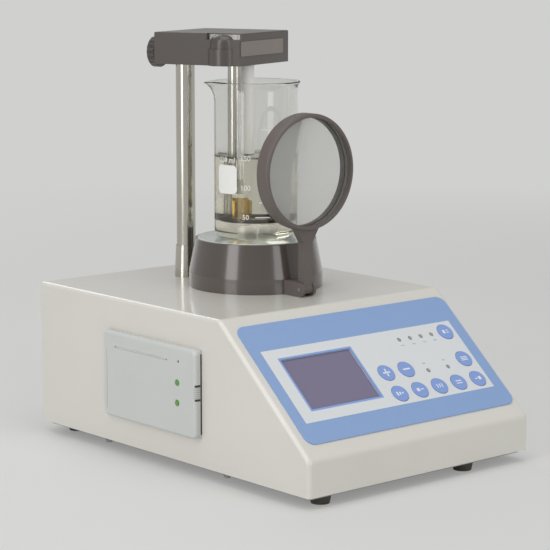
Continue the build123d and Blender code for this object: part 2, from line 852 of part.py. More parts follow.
deck_under_z = deck_z - sheet
with BuildPart() as motor_bracket:
    with BuildSketch(Plane(origin=(cup_x, cup_y, 0), x_dir=(1, 0, 0), z_dir=(0, -1, 0))):
        with BuildLine():
            Polyline(
                (-bracket_span / 2 - bracket_foot, deck_under_z),
                (-bracket_span / 2, deck_under_z),
                (-bracket_span / 2, motor_top_z + sheet),
                (bracket_span / 2, motor_top_z + sheet),
                (bracket_span / 2, deck_under_z),
                (bracket_span / 2 + bracket_foot, deck_under_z),
                (bracket_span / 2 + bracket_foot, deck_under_z - sheet),
                (bracket_span / 2 + sheet, deck_under_z - sheet),
                (bracket_span / 2 + sheet, motor_top_z),
                (-bracket_span / 2 - sheet, motor_top_z),
                (-bracket_span / 2 - sheet, deck_under_z - sheet),
                (-bracket_span / 2 - bracket_foot, deck_under_z - sheet),
                close=True,
            )
        make_face()
    extrude(amount=bracket_width / 2, both=True)
    with BuildSketch(Plane.XY.offset(motor_top_z)):
        with Locations((cup_x, cup_y)):
            Circle(motor_boss_radius + seat_gap)
            with GridLocations(2 * (motor_radius - 2 * screw_radius), 0, 2, 1):
                Circle(screw_hole_radius)
    extrude(amount=sheet, mode=Mode.SUBTRACT)
motor_bracket.part.label = "motor_bracket"
export_step(motor_bracket.part, "parts/motor_bracket.step")

# Post: a bright tube that slides in the collar above and the guide below the deck
post_bottom_z = cover_z + post_foot_gap
post_top_z = deck_z + head_above_deck + post_into_head
with BuildPart() as post:
    with BuildSketch(Plane.XY.offset(post_bottom_z)):
        with Locations((post_x, post_y)):
            Circle(post_radius)
            Circle(post_radius - post_wall, mode=Mode.SUBTRACT)
    extrude(amount=post_top_z - post_bottom_z)
post.part.label = "post"
export_step(post.part, "parts/post.step")

with BuildPart() as post_collar:
    with BuildSketch(Plane(origin=(post_x, post_y, deck_z), x_dir=(1, 0, 0), z_dir=(0, -1, 0))):
        with BuildLine():
            Polyline(
                (post_radius + running_gap, 0),
                (collar_base_radius, 0),
                (collar_base_radius, seat_gap),
                (collar_top_radius, collar_height),
                (post_radius + running_gap, collar_height),
                close=True,
            )
        make_face()
    revolve(axis=Axis((post_x, post_y, 0), (0, 0, 1)))
post_collar.part.label = "post_collar"
export_step(post_collar.part, "parts/post_collar.step")

with BuildPart() as post_guide:
    with BuildSketch(Plane.XY.offset(cover_z)):
        with Locations((post_x, post_y)):
            Circle(guide_flange_radius)
    extrude(amount=guide_flange_thick)
    with BuildSketch(Plane.XY.offset(cover_z)):
        with Locations((post_x, post_y)):
            Circle(post_radius + running_gap + guide_wall)
    extrude(amount=deck_under_z - cover_z)
    with BuildSketch(Plane.XY.offset(cover_z)):
        with Locations((post_x, post_y)):
            Circle(post_radius + running_gap)
            with PolarLocations((guide_flange_radius + post_radius + guide_wall) / 2, 3):
                Circle(screw_radius)
    extrude(amount=deck_under_z - cover_z, mode=Mode.SUBTRACT)
post_guide.part.label = "post_guide"
export_step(post_guide.part, "parts/post_guide.step")

# Head: a moulded box open below, with a domed boss on its left face beside
# the near corner, a clamp boss round the post and a threaded boss for the knob
head_width = head_left + head_right
head_length = head_front + head_rear
head_mid = ((head_right - head_left) / 2, (head_rear - head_front) / 2)
knob_z = head_height / 2 - knob_drop
head_back_plane = Plane(
    origin=head_plane.from_local_coords((0, head_rear, knob_z)),
    x_dir=(-head_plane.x_dir.X, -head_plane.x_dir.Y, 0),
    z_dir=head_plane.y_dir,
)
head_front_plane = Plane(
    origin=head_plane.from_local_coords((0, -head_front, 0)),
    x_dir=head_plane.x_dir,
    z_dir=(-head_plane.y_dir.X, -head_plane.y_dir.Y, 0),
)
label_width = head_width - label_left - label_right
label_x = head_right - label_right - label_width / 2
boss_centre = (head_boss_inset - head_left, head_boss_back - head_front)
boss_height = head_height - head_edge
boss_plane = Plane(
    origin=head_plane.from_local_coords((*boss_centre, 0)),
    x_dir=head_plane.x_dir,
    z_dir=head_front_plane.z_dir,
)
heater_sleeve_place = (heater_sleeve_x, heater_sleeve_y)
probe_sleeve_place = (probe_sleeve_x, probe_sleeve_y)
with BuildPart() as head_body:
    with BuildSketch(head_plane):
        with Locations(head_mid):
            Rectangle(head_width, head_length)
    extrude(amount=head_height)
    upper = head_body.edges().group_by(Axis.Z)[-1]
    fillet(upper, head_edge)
    # Step along the upper left edge, behind the dome of the boss
    with BuildSketch(head_plane.offset(head_height)):
        with Locations((-head_left, -head_front + head_step_length / 2)):
            Rectangle(2 * head_step_width, head_step_length)
    extrude(amount=-head_step_depth, mode=Mode.SUBTRACT)
    with BuildSketch(boss_plane):
        with BuildLine():
            b1 = Line((0, 0), (head_boss_radius, 0))
            b2 = Line(b1 @ 1, (head_boss_radius, boss_height - head_boss_dome))
            b3 = TangentArc(
                b2 @ 1, (head_boss_radius - head_boss_dome, boss_height), tangent=b2 % 1
            )
            Polyline(b3 @ 1, (0, boss_height), b1 @ 0)
        make_face()
    revolve(axis=Axis(boss_plane.origin, (0, 0, 1)))
    with BuildSketch(head_plane):
        with Locations(boss_centre):
            Circle(head_boss_radius + head_boss_skirt)
    extrude(amount=head_boss_skirt_height)
    with BuildSketch(head_plane):
        with Locations(head_mid):
            Rectangle(head_width - 2 * head_wall, head_length - 2 * head_wall)
        with Locations(heater_sleeve_place):
            Circle(heater_sleeve_radius + slide_gap)
    extrude(amount=head_height - head_step_depth - head_wall, mode=Mode.SUBTRACT)
    # Clamp boss round the post
    with BuildSketch(head_plane.offset(head_wall + seat_gap)):
        Circle(clamp_boss_radius)
        with Locations(head_mid):
            Rectangle(head_width - head_wall, head_length - head_wall, mode=Mode.INTERSECT)
    extrude(amount=head_height - 2 * head_wall)
    with BuildSketch(head_back_plane):
        Circle(rear_boss_radius)
    extrude(amount=rear_boss_length)
    with BuildSketch(head_plane):
        Circle(post_radius + running_gap)
    extrude(amount=post_into_head + seat_gap, mode=Mode.SUBTRACT)
    with BuildSketch(head_back_plane.offset(rear_boss_length)):
        Circle(clamp_screw_radius + running_gap)
    extrude(amount=-rear_boss_length - head_rear, mode=Mode.SUBTRACT)
    # Pocket for the plate on the front
    with BuildSketch(head_front_plane):
        with Locations((label_x, label_up + label_height / 2)):
            Rectangle(label_width + 2 * seat_gap, label_height + 2 * seat_gap)
    extrude(amount=-label_sunk, mode=Mode.SUBTRACT)
head_body.part.label = "head_body"
export_step(head_body.part, "parts/head_body.step")

with BuildPart() as head_floor:
    with BuildSketch(head_plane):
        with Locations(head_mid):
            Rectangle(
                head_width - 2 * (head_wall + seat_gap), head_length - 2 * (head_wall + seat_gap)
            )
        Circle(post_radius + slide_gap, mode=Mode.SUBTRACT)
        with Locations(heater_sleeve_place):
            Circle(heater_sleeve_radius + running_gap, mode=Mode.SUBTRACT)
        with Locations(probe_sleeve_place):
            Circle(probe_sleeve_radius + running_gap, mode=Mode.SUBTRACT)
    extrude(amount=head_wall)
head_floor.part.label = "head_floor"
export_step(head_floor.part, "parts/head_floor.step")

with BuildPart() as head_plate:
    with BuildSketch(head_front_plane.offset(-label_sunk)):
        with Locations((label_x, label_up + label_height / 2)):
            RectangleRounded(label_width, label_height, head_edge)
    extrude(amount=label_thick)
head_plate.part.label = "head_plate"
export_step(head_plate.part, "parts/head_plate.step")

# Clamp knob: fluted rim, neck and a screw that presses on the post
knob_inner = rear_boss_length + knob_gap
clamp_screw_length = knob_inner + head_rear - post_radius - seat_gap
with BuildPart() as clamp_knob:
    with BuildSketch(head_back_plane.offset(knob_inner)):
        Circle(knob_radius)
    extrude(amount=knob_thick)
    chamfer(clamp_knob.edges(), knob_flute_radius)
    with BuildSketch(head_back_plane.offset(knob_inner)):
        with PolarLocations(knob_radius, knob_flutes):
            Circle(knob_flute_radius)
    extrude(amount=knob_thick, mode=Mode.SUBTRACT)
    with BuildSketch(head_back_plane.offset(rear_boss_length + seat_gap)):
        Circle(knob_neck_radius)
    extrude(amount=knob_gap - seat_gap)
    with BuildSketch(head_back_plane.offset(knob_inner)):
        Circle(clamp_screw_radius)
    extrude(amount=-clamp_screw_length)
clamp_knob.part.label = "clamp_knob"
export_step(clamp_knob.part, "parts/clamp_knob.step")

# Steel sleeve that carries both legs of the heater
with BuildPart() as heater_sleeve:
    with BuildSketch(head_plane.offset(sleeve_into_head)):
        with Locations(heater_sleeve_place):
            Circle(heater_sleeve_radius)
            Circle(heater_sleeve_radius - heater_sleeve_wall, mode=Mode.SUBTRACT)
    extrude(amount=-sleeve_into_head - heater_sleeve_length)
heater_sleeve.part.label = "heater_sleeve"
export_step(heater_sleeve.part, "parts/heater_sleeve.step")

# Heater: one bent tube, a ring near the bottom of the glass with two legs
sleeve_point = head_plane.from_local_coords((*heater_sleeve_place, 0))
leg_angle = math.degrees(math.atan2(sleeve_point.Y - cup_y, sleeve_point.X - cup_x))
ring_z = plate_top_z + heater_ring_up
leg_radius = math.hypot(sleeve_point.X - cup_x, sleeve_point.Y - cup_y)
ring_plane = Plane(
    origin=(cup_x, cup_y, ring_z),
    x_dir=(math.cos(math.radians(leg_angle)), math.sin(math.radians(leg_angle)), 0),
    z_dir=(0, 0, 1),
)
leg_offset = heater_leg_pitch / 2
bend_side = leg_offset + heater_bend
bend_x = math.sqrt((heater_ring_radius - heater_bend) ** 2 - bend_side**2)
ring_gap_angle = math.degrees(math.atan2(bend_side, bend_x))
leg_top = deck_z + head_above_deck + sleeve_into_head - ring_z
bend_mid = heater_bend * (1 - math.sqrt(0.5))
with BuildPart() as heater:
    with BuildLine(ring_plane) as heater_path:
        Line((leg_radius, -leg_offset, leg_top), (leg_radius, -leg_offset, heater_bend))
        ThreePointArc(
            (leg_radius, -leg_offset, heater_bend),
            (leg_radius + bend_mid, -leg_offset, bend_mid),
            (leg_radius + heater_bend, -leg_offset, 0),
        )
        Line((leg_radius + heater_bend, -leg_offset), (bend_x, -leg_offset))
        CenterArc((bend_x, -bend_side), heater_bend, 90, -90 - ring_gap_angle)
        CenterArc((0, 0), heater_ring_radius, -ring_gap_angle, 2 * ring_gap_angle - 360)
        CenterArc((bend_x, bend_side), heater_bend, ring_gap_angle, -90 - ring_gap_angle)
        Line((bend_x, leg_offset), (leg_radius + heater_bend, leg_offset))
        ThreePointArc(
            (leg_radius + heater_bend, leg_offset, 0),
            (leg_radius + bend_mid, leg_offset, bend_mid),
            (leg_radius, leg_offset, heater_bend),
        )
        Line((leg_radius, leg_offset, heater_bend), (leg_radius, leg_offset, leg_top))
    leg_end = ring_plane.from_local_coords((leg_radius, -leg_offset, leg_top))
    with BuildSketch(Plane(origin=leg_end, z_dir=(0, 0, -1))):
        Circle(heater_tube_radius)
    sweep(path=heater_path.wire())
heater.part.label = "heater"
export_step(heater.part, "parts/heater.step")

# Probe: white sleeve, thin tube and the brass holder for the capillaries
probe_point = head_plane.from_local_coords((*probe_sleeve_place, 0))
probe_side = Plane(origin=probe_point, x_dir=(1, 0, 0), z_dir=(0, -1, 0))
probe_axis = Axis(probe_point, (0, 0, 1))
with BuildPart() as probe_sleeve:
    with BuildSketch(probe_side):
        with BuildLine():
            Polyline(
                (probe_radius + running_gap, -probe_sleeve_length),
                (probe_sleeve_radius, -probe_sleeve_length),
                (probe_sleeve_radius, sleeve_into_head),
                (probe_sleeve_radius - probe_sleeve_wall, sleeve_into_head),
                (probe_sleeve_radius - probe_sleeve_wall, 2 * probe_sleeve_wall - probe_sleeve_length),
                (probe_radius + running_gap, 2 * probe_sleeve_wall - probe_sleeve_length),
                close=True,
            )
        make_face()
    revolve(axis=probe_axis)
probe_sleeve.part.label = "probe_sleeve"
export_step(probe_sleeve.part, "parts/probe_sleeve.step")

holder_bottom_z = plate_top_z + beaker_wall + holder_above_glass
probe_plane = Plane(origin=(probe_point.X, probe_point.Y, holder_bottom_z), z_dir=(0, 0, 1))
with BuildPart() as probe_tube:
    with BuildSketch(probe_plane.offset(holder_shoulder)):
        Circle(probe_radius)
    extrude(amount=deck_z + head_above_deck + sleeve_into_head - holder_bottom_z - holder_shoulder)
probe_tube.part.label = "probe_tube"
export_step(probe_tube.part, "parts/probe_tube.step")

with BuildPart() as capillary_holder:
    with BuildSketch(probe_plane):
        Circle(holder_radius)
        with PolarLocations(holder_radius, capillary_ways, start_angle=-90):
            Circle(holder_groove, mode=Mode.SUBTRACT)
    extrude(amount=holder_height - holder_shoulder)
    with BuildSketch(probe_plane.offset(holder_height - holder_shoulder)):
        Circle(holder_radius - holder_groove)
    extrude(amount=holder_shoulder, taper=30)
    with BuildSketch(probe_plane.offset(holder_shoulder)):
        Circle(probe_radius + running_gap)
    extrude(amount=holder_height, mode=Mode.SUBTRACT)
capillary_holder.part.label = "capillary_holder"
export_step(capillary_holder.part, "parts/capillary_holder.step")

with BuildPart() as holder_cap:
    with BuildSketch(probe_plane.offset(holder_height)):
        Circle(cap_radius)
    extrude(amount=cap_height)
    chamfer(holder_cap.edges().group_by(Axis.Z)[-1], cap_height / 4)
    with BuildSketch(probe_plane.offset(holder_height)):
        Circle(probe_radius + running_gap)
    extrude(amount=cap_height, mode=Mode.SUBTRACT)
holder_cap.part.label = "holder_cap"
export_step(holder_cap.part, "parts/holder_cap.step")

# Magnifier: ring and stem in one moulding, tilting on a pin at its foot
hinge_drop = glass_above_deck - hinge_up
glass_plane = Plane(
    origin=(glass_x, glass_y, deck_z + glass_above_deck), x_dir=(1, 0, 0), z_dir=(0, -1, 0)
)
hinge_plane = Plane(
    origin=(glass_x, glass_y, deck_z + hinge_up), x_dir=(0, 1, 0), z_dir=(1, 0, 0)
)
neck_drop = glass_ring_radius + neck_fall
with BuildPart() as magnifier_frame:
    with BuildSketch(glass_plane):
        Circle(glass_ring_radius)
    extrude(amount=glass_ring_depth / 2, both=True)
    fillet(magnifier_frame.edges(), glass_ring_depth / 6)
    with BuildSketch(glass_plane):
        with BuildLine():
            Polyline(
                (-neck_width / 2, neck_fall / 2 - glass_ring_radius),
                (-stem_width / 2, -neck_drop),
                (-stem_width / 2, -hinge_drop),
                (stem_width / 2, -hinge_drop),
                (stem_width / 2, -neck_drop),
                (neck_width / 2, neck_fall / 2 - glass_ring_radius),
                close=True,
            )
        make_face()
    extrude(amount=stem_depth / 2, both=True)
    with BuildSketch(hinge_plane):
        Circle(knuckle_radius)
    extrude(amount=stem_width / 2, both=True)
    with BuildSketch(glass_plane):
        Circle(glass_view_radius)
    extrude(amount=glass_ring_depth, both=True, mode=Mode.SUBTRACT)
    with BuildSketch(glass_plane):
        Circle(lens_radius + seat_gap)
    extrude(amount=lens_edge / 2 + seat_gap, both=True, mode=Mode.SUBTRACT)
    with BuildSketch(hinge_plane):
        Circle(hinge_pin_radius + running_gap)
    extrude(amount=stem_width, both=True, mode=Mode.SUBTRACT)
magnifier_frame.part.label = "magnifier_frame"
export_step(magnifier_frame.part, "parts/magnifier_frame.step")

lens_crown = lens_edge / 2 + lens_bulge
with BuildPart() as magnifier_lens:
    with BuildSketch(Plane(origin=glass_plane.origin, x_dir=(0, 0, 1), z_dir=(1, 0, 0))):
        with BuildLine():
            front = TangentArc((0, lens_crown), (lens_radius, lens_edge / 2), tangent=(1, 0))
            back = TangentArc((0, -lens_crown), (lens_radius, -lens_edge / 2), tangent=(1, 0))
            Line(front @ 1, back @ 1)
            Line(back @ 0, front @ 0)
        make_face()
    revolve(axis=Axis(glass_plane.origin, (0, 1, 0)))
magnifier_lens.part.label = "magnifier_lens"
export_step(magnifier_lens.part, "parts/magnifier_lens.step")

# Bracket stands on the deck against the cup's band and forks round the stem
ear_radius = hinge_up - seat_gap
ears_width = stem_width + 2 * (ear_gap + ear_thick)
cup_reach = cup_y - glass_y
with BuildPart() as magnifier_bracket:
    with BuildSketch(hinge_plane):
        Circle(ear_radius)
        with BuildLine():
            Polyline(
                (0, -hinge_up),
                (cup_reach, -hinge_up),
                (cup_reach, cup_band_height - hinge_up),
                (0, ear_radius),
                close=True,
            )
        make_face()
    extrude(amount=ears_width / 2, both=True)
    with BuildSketch(Plane.XY.offset(deck_z)):
        with Locations((glass_x, glass_y + knuckle_radius + 2 * ear_gap)):
            Rectangle(
                stem_width + 2 * ear_gap, 4 * knuckle_radius, align=(Align.CENTER, Align.MAX)
            )
    extrude(amount=2 * bracket_height, mode=Mode.SUBTRACT)
    with BuildSketch(cup_plane):
        Circle(cup_base_radius + running_gap)
    extrude(amount=2 * bracket_height, mode=Mode.SUBTRACT)
    with BuildSketch(hinge_plane):
        Circle(hinge_pin_radius + running_gap)
    extrude(amount=ears_width, both=True, mode=Mode.SUBTRACT)
magnifier_bracket.part.label = "magnifier_bracket"
export_step(magnifier_bracket.part, "parts/magnifier_bracket.step")

with BuildPart() as bracket_pin:
    with BuildSketch(hinge_plane):
        Circle(hinge_pin_radius)
    extrude(amount=ears_width / 2, both=True)
bracket_pin.part.label = "bracket_pin"
export_step(bracket_pin.part, "parts/bracket_pin.step")

# Printer frame: bezel on the wall, paper bay behind it, spindle and hinge lugs
bay_width = printer_body_width - 2 * printer_wall
bay_height = printer_body_height - 2 * printer_wall
bay_plane = wall_plane.offset(-printer_body_depth + printer_wall)
door_axis_x = door_axis_inset - printer_width / 2
door_axis_out = printer_bezel + door_axis_rise
door_axis_plane = Plane(
    origin=wall_plane.from_local_coords((door_axis_x, 0, door_axis_out)),
    x_dir=wall_plane.x_dir,
    z_dir=(0, 0, 1),
)
roll_plane = Plane(
    origin=wall_plane.from_local_coords((0, roll_up, -roll_depth)),
    x_dir=(0, 0, 1),
    z_dir=wall_plane.x_dir,
)
with BuildPart() as printer_frame:
    with BuildSketch(wall_plane):
        with Locations((bezel_cut_back / 2, 0)):
            Rectangle(printer_width - bezel_cut_back - 2 * seat_gap, printer_height - 2 * seat_gap)
    extrude(amount=printer_bezel)
    with BuildSketch(wall_plane):
        Rectangle(printer_body_width, printer_body_height)
    extrude(amount=-printer_body_depth)
    with BuildSketch(bay_plane):
        Rectangle(bay_width, bay_height)
    extrude(amount=printer_body_depth + printer_bezel, mode=Mode.SUBTRACT)
    with BuildSketch(roll_plane):
        Circle(spindle_radius)
    extrude(amount=bay_width / 2, both=True)
    for lug_side in (-1, 1):
        lug_plane = door_axis_plane.offset(lug_side * lug_offset)
        with BuildSketch(lug_plane):
            Circle(lug_radius)
            with BuildLine():
                Polyline(
                    (0, door_axis_out),
                    (bezel_cut_back, door_axis_out),
                    (bezel_cut_back, door_axis_out - printer_bezel),
                    (0, door_axis_out - printer_bezel - door_axis_rise),
                    close=True,
                )
            make_face()
        extrude(amount=lug_length / 2, both=True)
        with BuildSketch(lug_plane):
            Circle(lug_pin_radius)
        extrude(amount=lug_length / 2 + lug_pin_length, both=True)
printer_frame.part.label = "printer_frame"
export_step(printer_frame.part, "parts/printer_frame.step")

door_back_plane = wall_plane.offset(printer_bezel)
door_face_plane = door_back_plane.offset(printer_door_thick)
door_end_plane = Plane(
    origin=wall_plane.from_local_coords((printer_width / 2, 0, printer_bezel)),
    x_dir=(0, 0, 1),
    z_dir=wall_plane.x_dir,
)
with BuildPart() as printer_door:
    with BuildSketch(door_back_plane):
        RectangleRounded(printer_width, printer_height, door_corner)
    extrude(amount=printer_door_thick)
    fillet(printer_door.faces().sort_by(Axis.X)[0].edges(), door_edge)
    hollow_width = printer_width - door_wall - door_hinge_block
    with BuildSketch(door_back_plane):
        with Locations(((door_hinge_block - door_wall) / 2, 0)):
            Rectangle(hollow_width, printer_height - 2 * door_wall)
    extrude(amount=printer_door_thick - door_face, mode=Mode.SUBTRACT)
    # Paper slit, lamp, two key holes and the shallow line beside the hinge
    with BuildSketch(door_face_plane):
        with Locations((slit_x, slit_up)):
            Rectangle(slit_length, slit_width)
        with Locations((lamp_x, lamp_up)):
            Circle(door_lamp_radius)
        with Locations(*[(door_key_x, up) for up in door_key_ups.values()]):
            Circle(door_key_radius + seat_gap)
    extrude(amount=-2 * door_face, mode=Mode.SUBTRACT)
    with BuildSketch(door_face_plane):
        with Locations((face_line_x, (face_line_low + face_line_high) / 2)):
            Rectangle(face_line_width, face_line_high - face_line_low)
    extrude(amount=-face_line_depth, mode=Mode.SUBTRACT)
    # Latch tongue between two slots at the free end
    with BuildSketch(door_end_plane):
        for latch_up in latch_ups:
            with Locations((latch_up, -latch_reach / 2)):
                Rectangle(latch_slot, latch_reach)
    extrude(amount=-2 * door_wall, mode=Mode.SUBTRACT)
    for lug_side in (-1, 1):
        lug_plane = door_axis_plane.offset(lug_side * lug_offset)
        with BuildSketch(lug_plane):
            with Locations((0, 0)):
                Rectangle(4 * lug_radius, 2 * (lug_radius + slide_gap))
            with Locations((0, door_axis_rise)):
                Rectangle(4 * lug_radius, 2 * door_axis_rise)
        extrude(amount=lug_length / 2 + slide_gap, both=True, mode=Mode.SUBTRACT)
        with BuildSketch(lug_plane):
            Circle(lug_pin_radius + running_gap)
        extrude(amount=lug_length / 2 + lug_pin_length + seat_gap, both=True, mode=Mode.SUBTRACT)
printer_door.part.label = "printer_door"
export_step(printer_door.part, "parts/printer_door.step")

# Green keys in the door, each with a collar behind its face
for key_name, key_up in door_key_ups.items():
    with BuildPart() as door_key:
        with BuildSketch(door_face_plane.offset(door_key_proud)):
            with Locations((door_key_x, key_up)):
                Circle(door_key_radius)
        extrude(amount=-door_face - door_key_proud - seat_gap)
        fillet(door_key.edges().filter_by(GeomType.CIRCLE).sort_by(Axis.X)[0], door_key_proud / 2)
        with BuildSketch(door_face_plane.offset(-door_face - seat_gap)):
            with Locations((door_key_x, key_up)):
                Circle(door_key_radius + door_key_flange)
        extrude(amount=-door_key_flange)
    door_key.part.label = key_name
    export_step(door_key.part, f"parts/{key_name}.step")

# Print mechanism: head bar between two cheeks that carry the platen
cheek_height = bay_height / 2 - cheek_low
platen_plane = Plane(
    origin=wall_plane.from_local_coords((slit_x, platen_up, -platen_depth)),
    x_dir=(0, 0, 1),
    z_dir=wall_plane.x_dir,
)
cheek_inner = slit_length / 2 + seat_gap
with BuildPart() as print_mechanism:
    for cheek_side in (-1, 1):
        with BuildSketch(platen_plane.offset(cheek_side * (cheek_inner + cheek_thick / 2))):
            with Locations(
                (cheek_low + cheek_height / 2 - platen_up, platen_depth - (cheek_back + cheek_front) / 2)
            ):
                Rectangle(cheek_height, cheek_back - cheek_front)
            Circle(platen_shaft_radius + running_gap, mode=Mode.SUBTRACT)
        extrude(amount=cheek_thick / 2, both=True)
    with BuildSketch(platen_plane):
        with Locations(
            (cheek_low + cheek_height / 2 - platen_up, platen_depth - cheek_back + head_bar_thick / 2)
        ):
            Rectangle(cheek_height, head_bar_thick)
    extrude(amount=cheek_inner + cheek_thick, both=True)
print_mechanism.part.label = "print_mechanism"
export_step(print_mechanism.part, "parts/print_mechanism.step")

with BuildPart() as platen_roller:
    with BuildSketch(platen_plane):
        Circle(platen_radius)
    extrude(amount=slit_length / 2 - seat_gap, both=True)
    with BuildSketch(platen_plane):
        Circle(platen_shaft_radius)
    extrude(amount=cheek_inner + cheek_thick, both=True)
platen_roller.part.label = "platen_roller"
export_step(platen_roller.part, "parts/platen_roller.step")

with BuildPart() as paper_roll:
    with BuildSketch(roll_plane.offset(slit_x)):
        Circle(roll_radius)
        Circle(spindle_radius + 2 * running_gap, mode=Mode.SUBTRACT)
    extrude(amount=roll_width / 2, both=True)
paper_roll.part.label = "paper_roll"
export_step(paper_roll.part, "parts/paper_roll.step")

# Mains inlet with its three blades, rocker switch and fuse holder in a row
inlet_place = (-inlet_x, rear_row_up)
with BuildPart() as power_inlet:
    with BuildSketch(rear_plane):
        with Locations(inlet_place):
            RectangleRounded(inlet_flange_width, inlet_flange_height, side_bend)
            with GridLocations(inlet_screw_pitch, 0, 2, 1):
                Circle(screw_hole_radius, mode=Mode.SUBTRACT)
    extrude(amount=inlet_flange_thick)
    with BuildSketch(rear_plane):
        with Locations(inlet_place):
            Rectangle(inlet_width, inlet_height)
    extrude(amount=-inlet_depth)
    with BuildSketch(rear_plane.offset(inlet_flange_thick)):
        with Locations(inlet_place):
            Rectangle(inlet_width - 2 * inlet_wall, inlet_height - 2 * inlet_wall)
    extrude(amount=inlet_wall - inlet_depth, mode=Mode.SUBTRACT)
    with BuildSketch(rear_plane.offset(inlet_flange_thick + inlet_wall - inlet_depth)):
        with Locations(inlet_place):
            with GridLocations(2 * inlet_pin_pitch, 0, 2, 1):
                Rectangle(inlet_pin_width, inlet_pin_height)
        with Locations((-inlet_x, rear_row_up + inlet_pin_height)):
            Rectangle(inlet_pin_width, inlet_pin_height)
    extrude(amount=inlet_depth / 2)
power_inlet.part.label = "power_inlet"
export_step(power_inlet.part, "parts/power_inlet.step")

rocker_place = (-rocker_x, rear_row_up)
with BuildPart() as rocker_frame:
    with BuildSketch(rear_plane):
        with Locations(rocker_place):
            RectangleRounded(rocker_frame_width, rocker_frame_height, rocker_wall)
    extrude(amount=rocker_frame_proud)
    with BuildSketch(rear_plane):
        with Locations(rocker_place):
            Rectangle(rocker_width + 2 * rocker_wall, rocker_height + 2 * rocker_wall)
    extrude(amount=-rocker_depth)
    with BuildSketch(rear_plane.offset(rocker_frame_proud)):
        with Locations(rocker_place):
            Rectangle(rocker_width, rocker_height)
    extrude(amount=rocker_wall - rocker_depth - rocker_frame_proud, mode=Mode.SUBTRACT)
    rocker_pivot = rear_plane.from_local_coords((-rocker_x, rear_row_up, -rocker_frame_proud))
    rocker_plane = Plane(origin=rocker_pivot, x_dir=(-1, 0, 0), z_dir=(0, 0, 1))
    with BuildSketch(rocker_plane):
        Circle(platen_shaft_radius + running_gap)
    extrude(amount=rocker_height, both=True, mode=Mode.SUBTRACT)
rocker_frame.part.label = "rocker_frame"
export_step(rocker_frame.part, "parts/rocker_frame.step")

rocker_half = rocker_width / 2 - rocker_wall
with BuildPart() as power_rocker:
    with BuildSketch(rocker_plane):
        with BuildLine(mode=Mode.PRIVATE) as rocker_outline:
            Polyline(
                (0, -rocker_frame_proud - rocker_wall),
                (rocker_half, -2 * rocker_frame_proud - rocker_wall),
                (rocker_half - rocker_wall, 2 * rocker_frame_proud),
                (rocker_wall - rocker_half, 2 * rocker_frame_proud),
                (-rocker_half, -2 * rocker_frame_proud - rocker_wall),
                close=True,
            )
        add(rocker_outline.line, rotation=rocker_swing)
        make_face()
    extrude(amount=rocker_height / 2 - slide_gap, both=True)
    with BuildSketch(rocker_plane):
        Circle(platen_shaft_radius)
    extrude(amount=rocker_height / 2 + rocker_wall, both=True)
power_rocker.part.label = "power_rocker"
export_step(power_rocker.part, "parts/power_rocker.step")

with BuildPart() as fuse_holder:
    with BuildSketch(rear_plane):
        with Locations((-fuse_x, rear_row_up)):
            Circle(fuse_cap_radius)
    extrude(amount=fuse_cap_length)
    chamfer(fuse_holder.edges().group_by(Axis.Y)[-1], running_gap * 20)
    with BuildSketch(rear_plane.offset(fuse_cap_length)):
        with Locations((-fuse_x, rear_row_up)):
            Rectangle(fuse_cap_radius, rocker_wall)
    extrude(amount=-rocker_wall, mode=Mode.SUBTRACT)
    with BuildSketch(rear_plane):
        with Locations((-fuse_x, rear_row_up)):
            Circle(fuse_body_radius)
    extrude(amount=-fuse_body_length)
fuse_holder.part.label = "fuse_holder"
export_step(fuse_holder.part, "parts/fuse_holder.step")

# Mains transformer: laminated core, coil and a foot plate
core_centre = (mid_x + core_x, rear_y - core_from_rear)
with BuildPart() as transformer:
    with BuildSketch(Plane.XY.offset(cover_z)):
        with Locations(core_centre):
            Rectangle(core_length + 2 * core_foot, core_depth)
            with GridLocations(core_length + core_foot, 0, 2, 1):
                Circle(screw_hole_radius, mode=Mode.SUBTRACT)
    extrude(amount=sheet)
    with BuildSketch(Plane.XY.offset(cover_z)):
        with Locations(core_centre):
            Rectangle(core_length, core_depth)
    extrude(amount=core_height)
    with BuildSketch(Plane.XY.offset(cover_z + (core_height - coil_height) / 2)):
        with Locations(core_centre):
            RectangleRounded(coil_width, coil_depth, side_bend)
    extrude(amount=coil_height)
transformer.part.label = "transformer"
export_step(transformer.part, "parts/transformer.step")

# Control board on its spacers, with heat sink, capacitors and terminals
board_centre = (mid_x + board_x, front_y + board_from_front)
board_top_z = cover_z + board_up + board_thick
with BuildPart() as main_board:
    with BuildSketch(Plane.XY.offset(cover_z + board_up)):
        with Locations(board_centre):
            Rectangle(board_width, board_length)
    extrude(amount=board_thick)
    with BuildSketch(Plane.XY.offset(cover_z)):
        with Locations(board_centre):
            with GridLocations(board_width - 2 * board_margin, board_length - 2 * board_margin, 2, 2):
                Circle(spacer_radius)
    extrude(amount=board_up)
    with BuildSketch(Plane.XY.offset(board_top_z)):
        with Locations((board_centre[0] - board_width / 4, board_centre[1] + board_length / 4)):
            Rectangle(sink_width, sink_depth)
            with Locations((0, sink_slot)):
                with GridLocations(2 * sink_slot + sink_slot, 0, sink_slots, 1):
                    Rectangle(sink_slot, sink_depth, mode=Mode.SUBTRACT)
    extrude(amount=sink_height)
    with BuildSketch(Plane.XY.offset(board_top_z)):
        with Locations((board_centre[0] + board_width / 4, board_centre[1] + board_length / 4)):
            with GridLocations(3 * capacitor_radius, 0, 2, 1):
                Circle(capacitor_radius)
    extrude(amount=capacitor_height)
    with BuildSketch(Plane.XY.offset(board_top_z)):
        with Locations(
            (board_centre[0], board_centre[1] - board_length / 2 + board_margin + terminal_depth)
        ):
            with GridLocations(1.5 * terminal_width, 0, 2, 1):
                Rectangle(terminal_width, terminal_depth)
    extrude(amount=terminal_height)
main_board.part.label = "main_board"
export_step(main_board.part, "parts/main_board.step")
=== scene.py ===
import json
import math

import bmesh
import bpy
from mathutils import Matrix, Vector


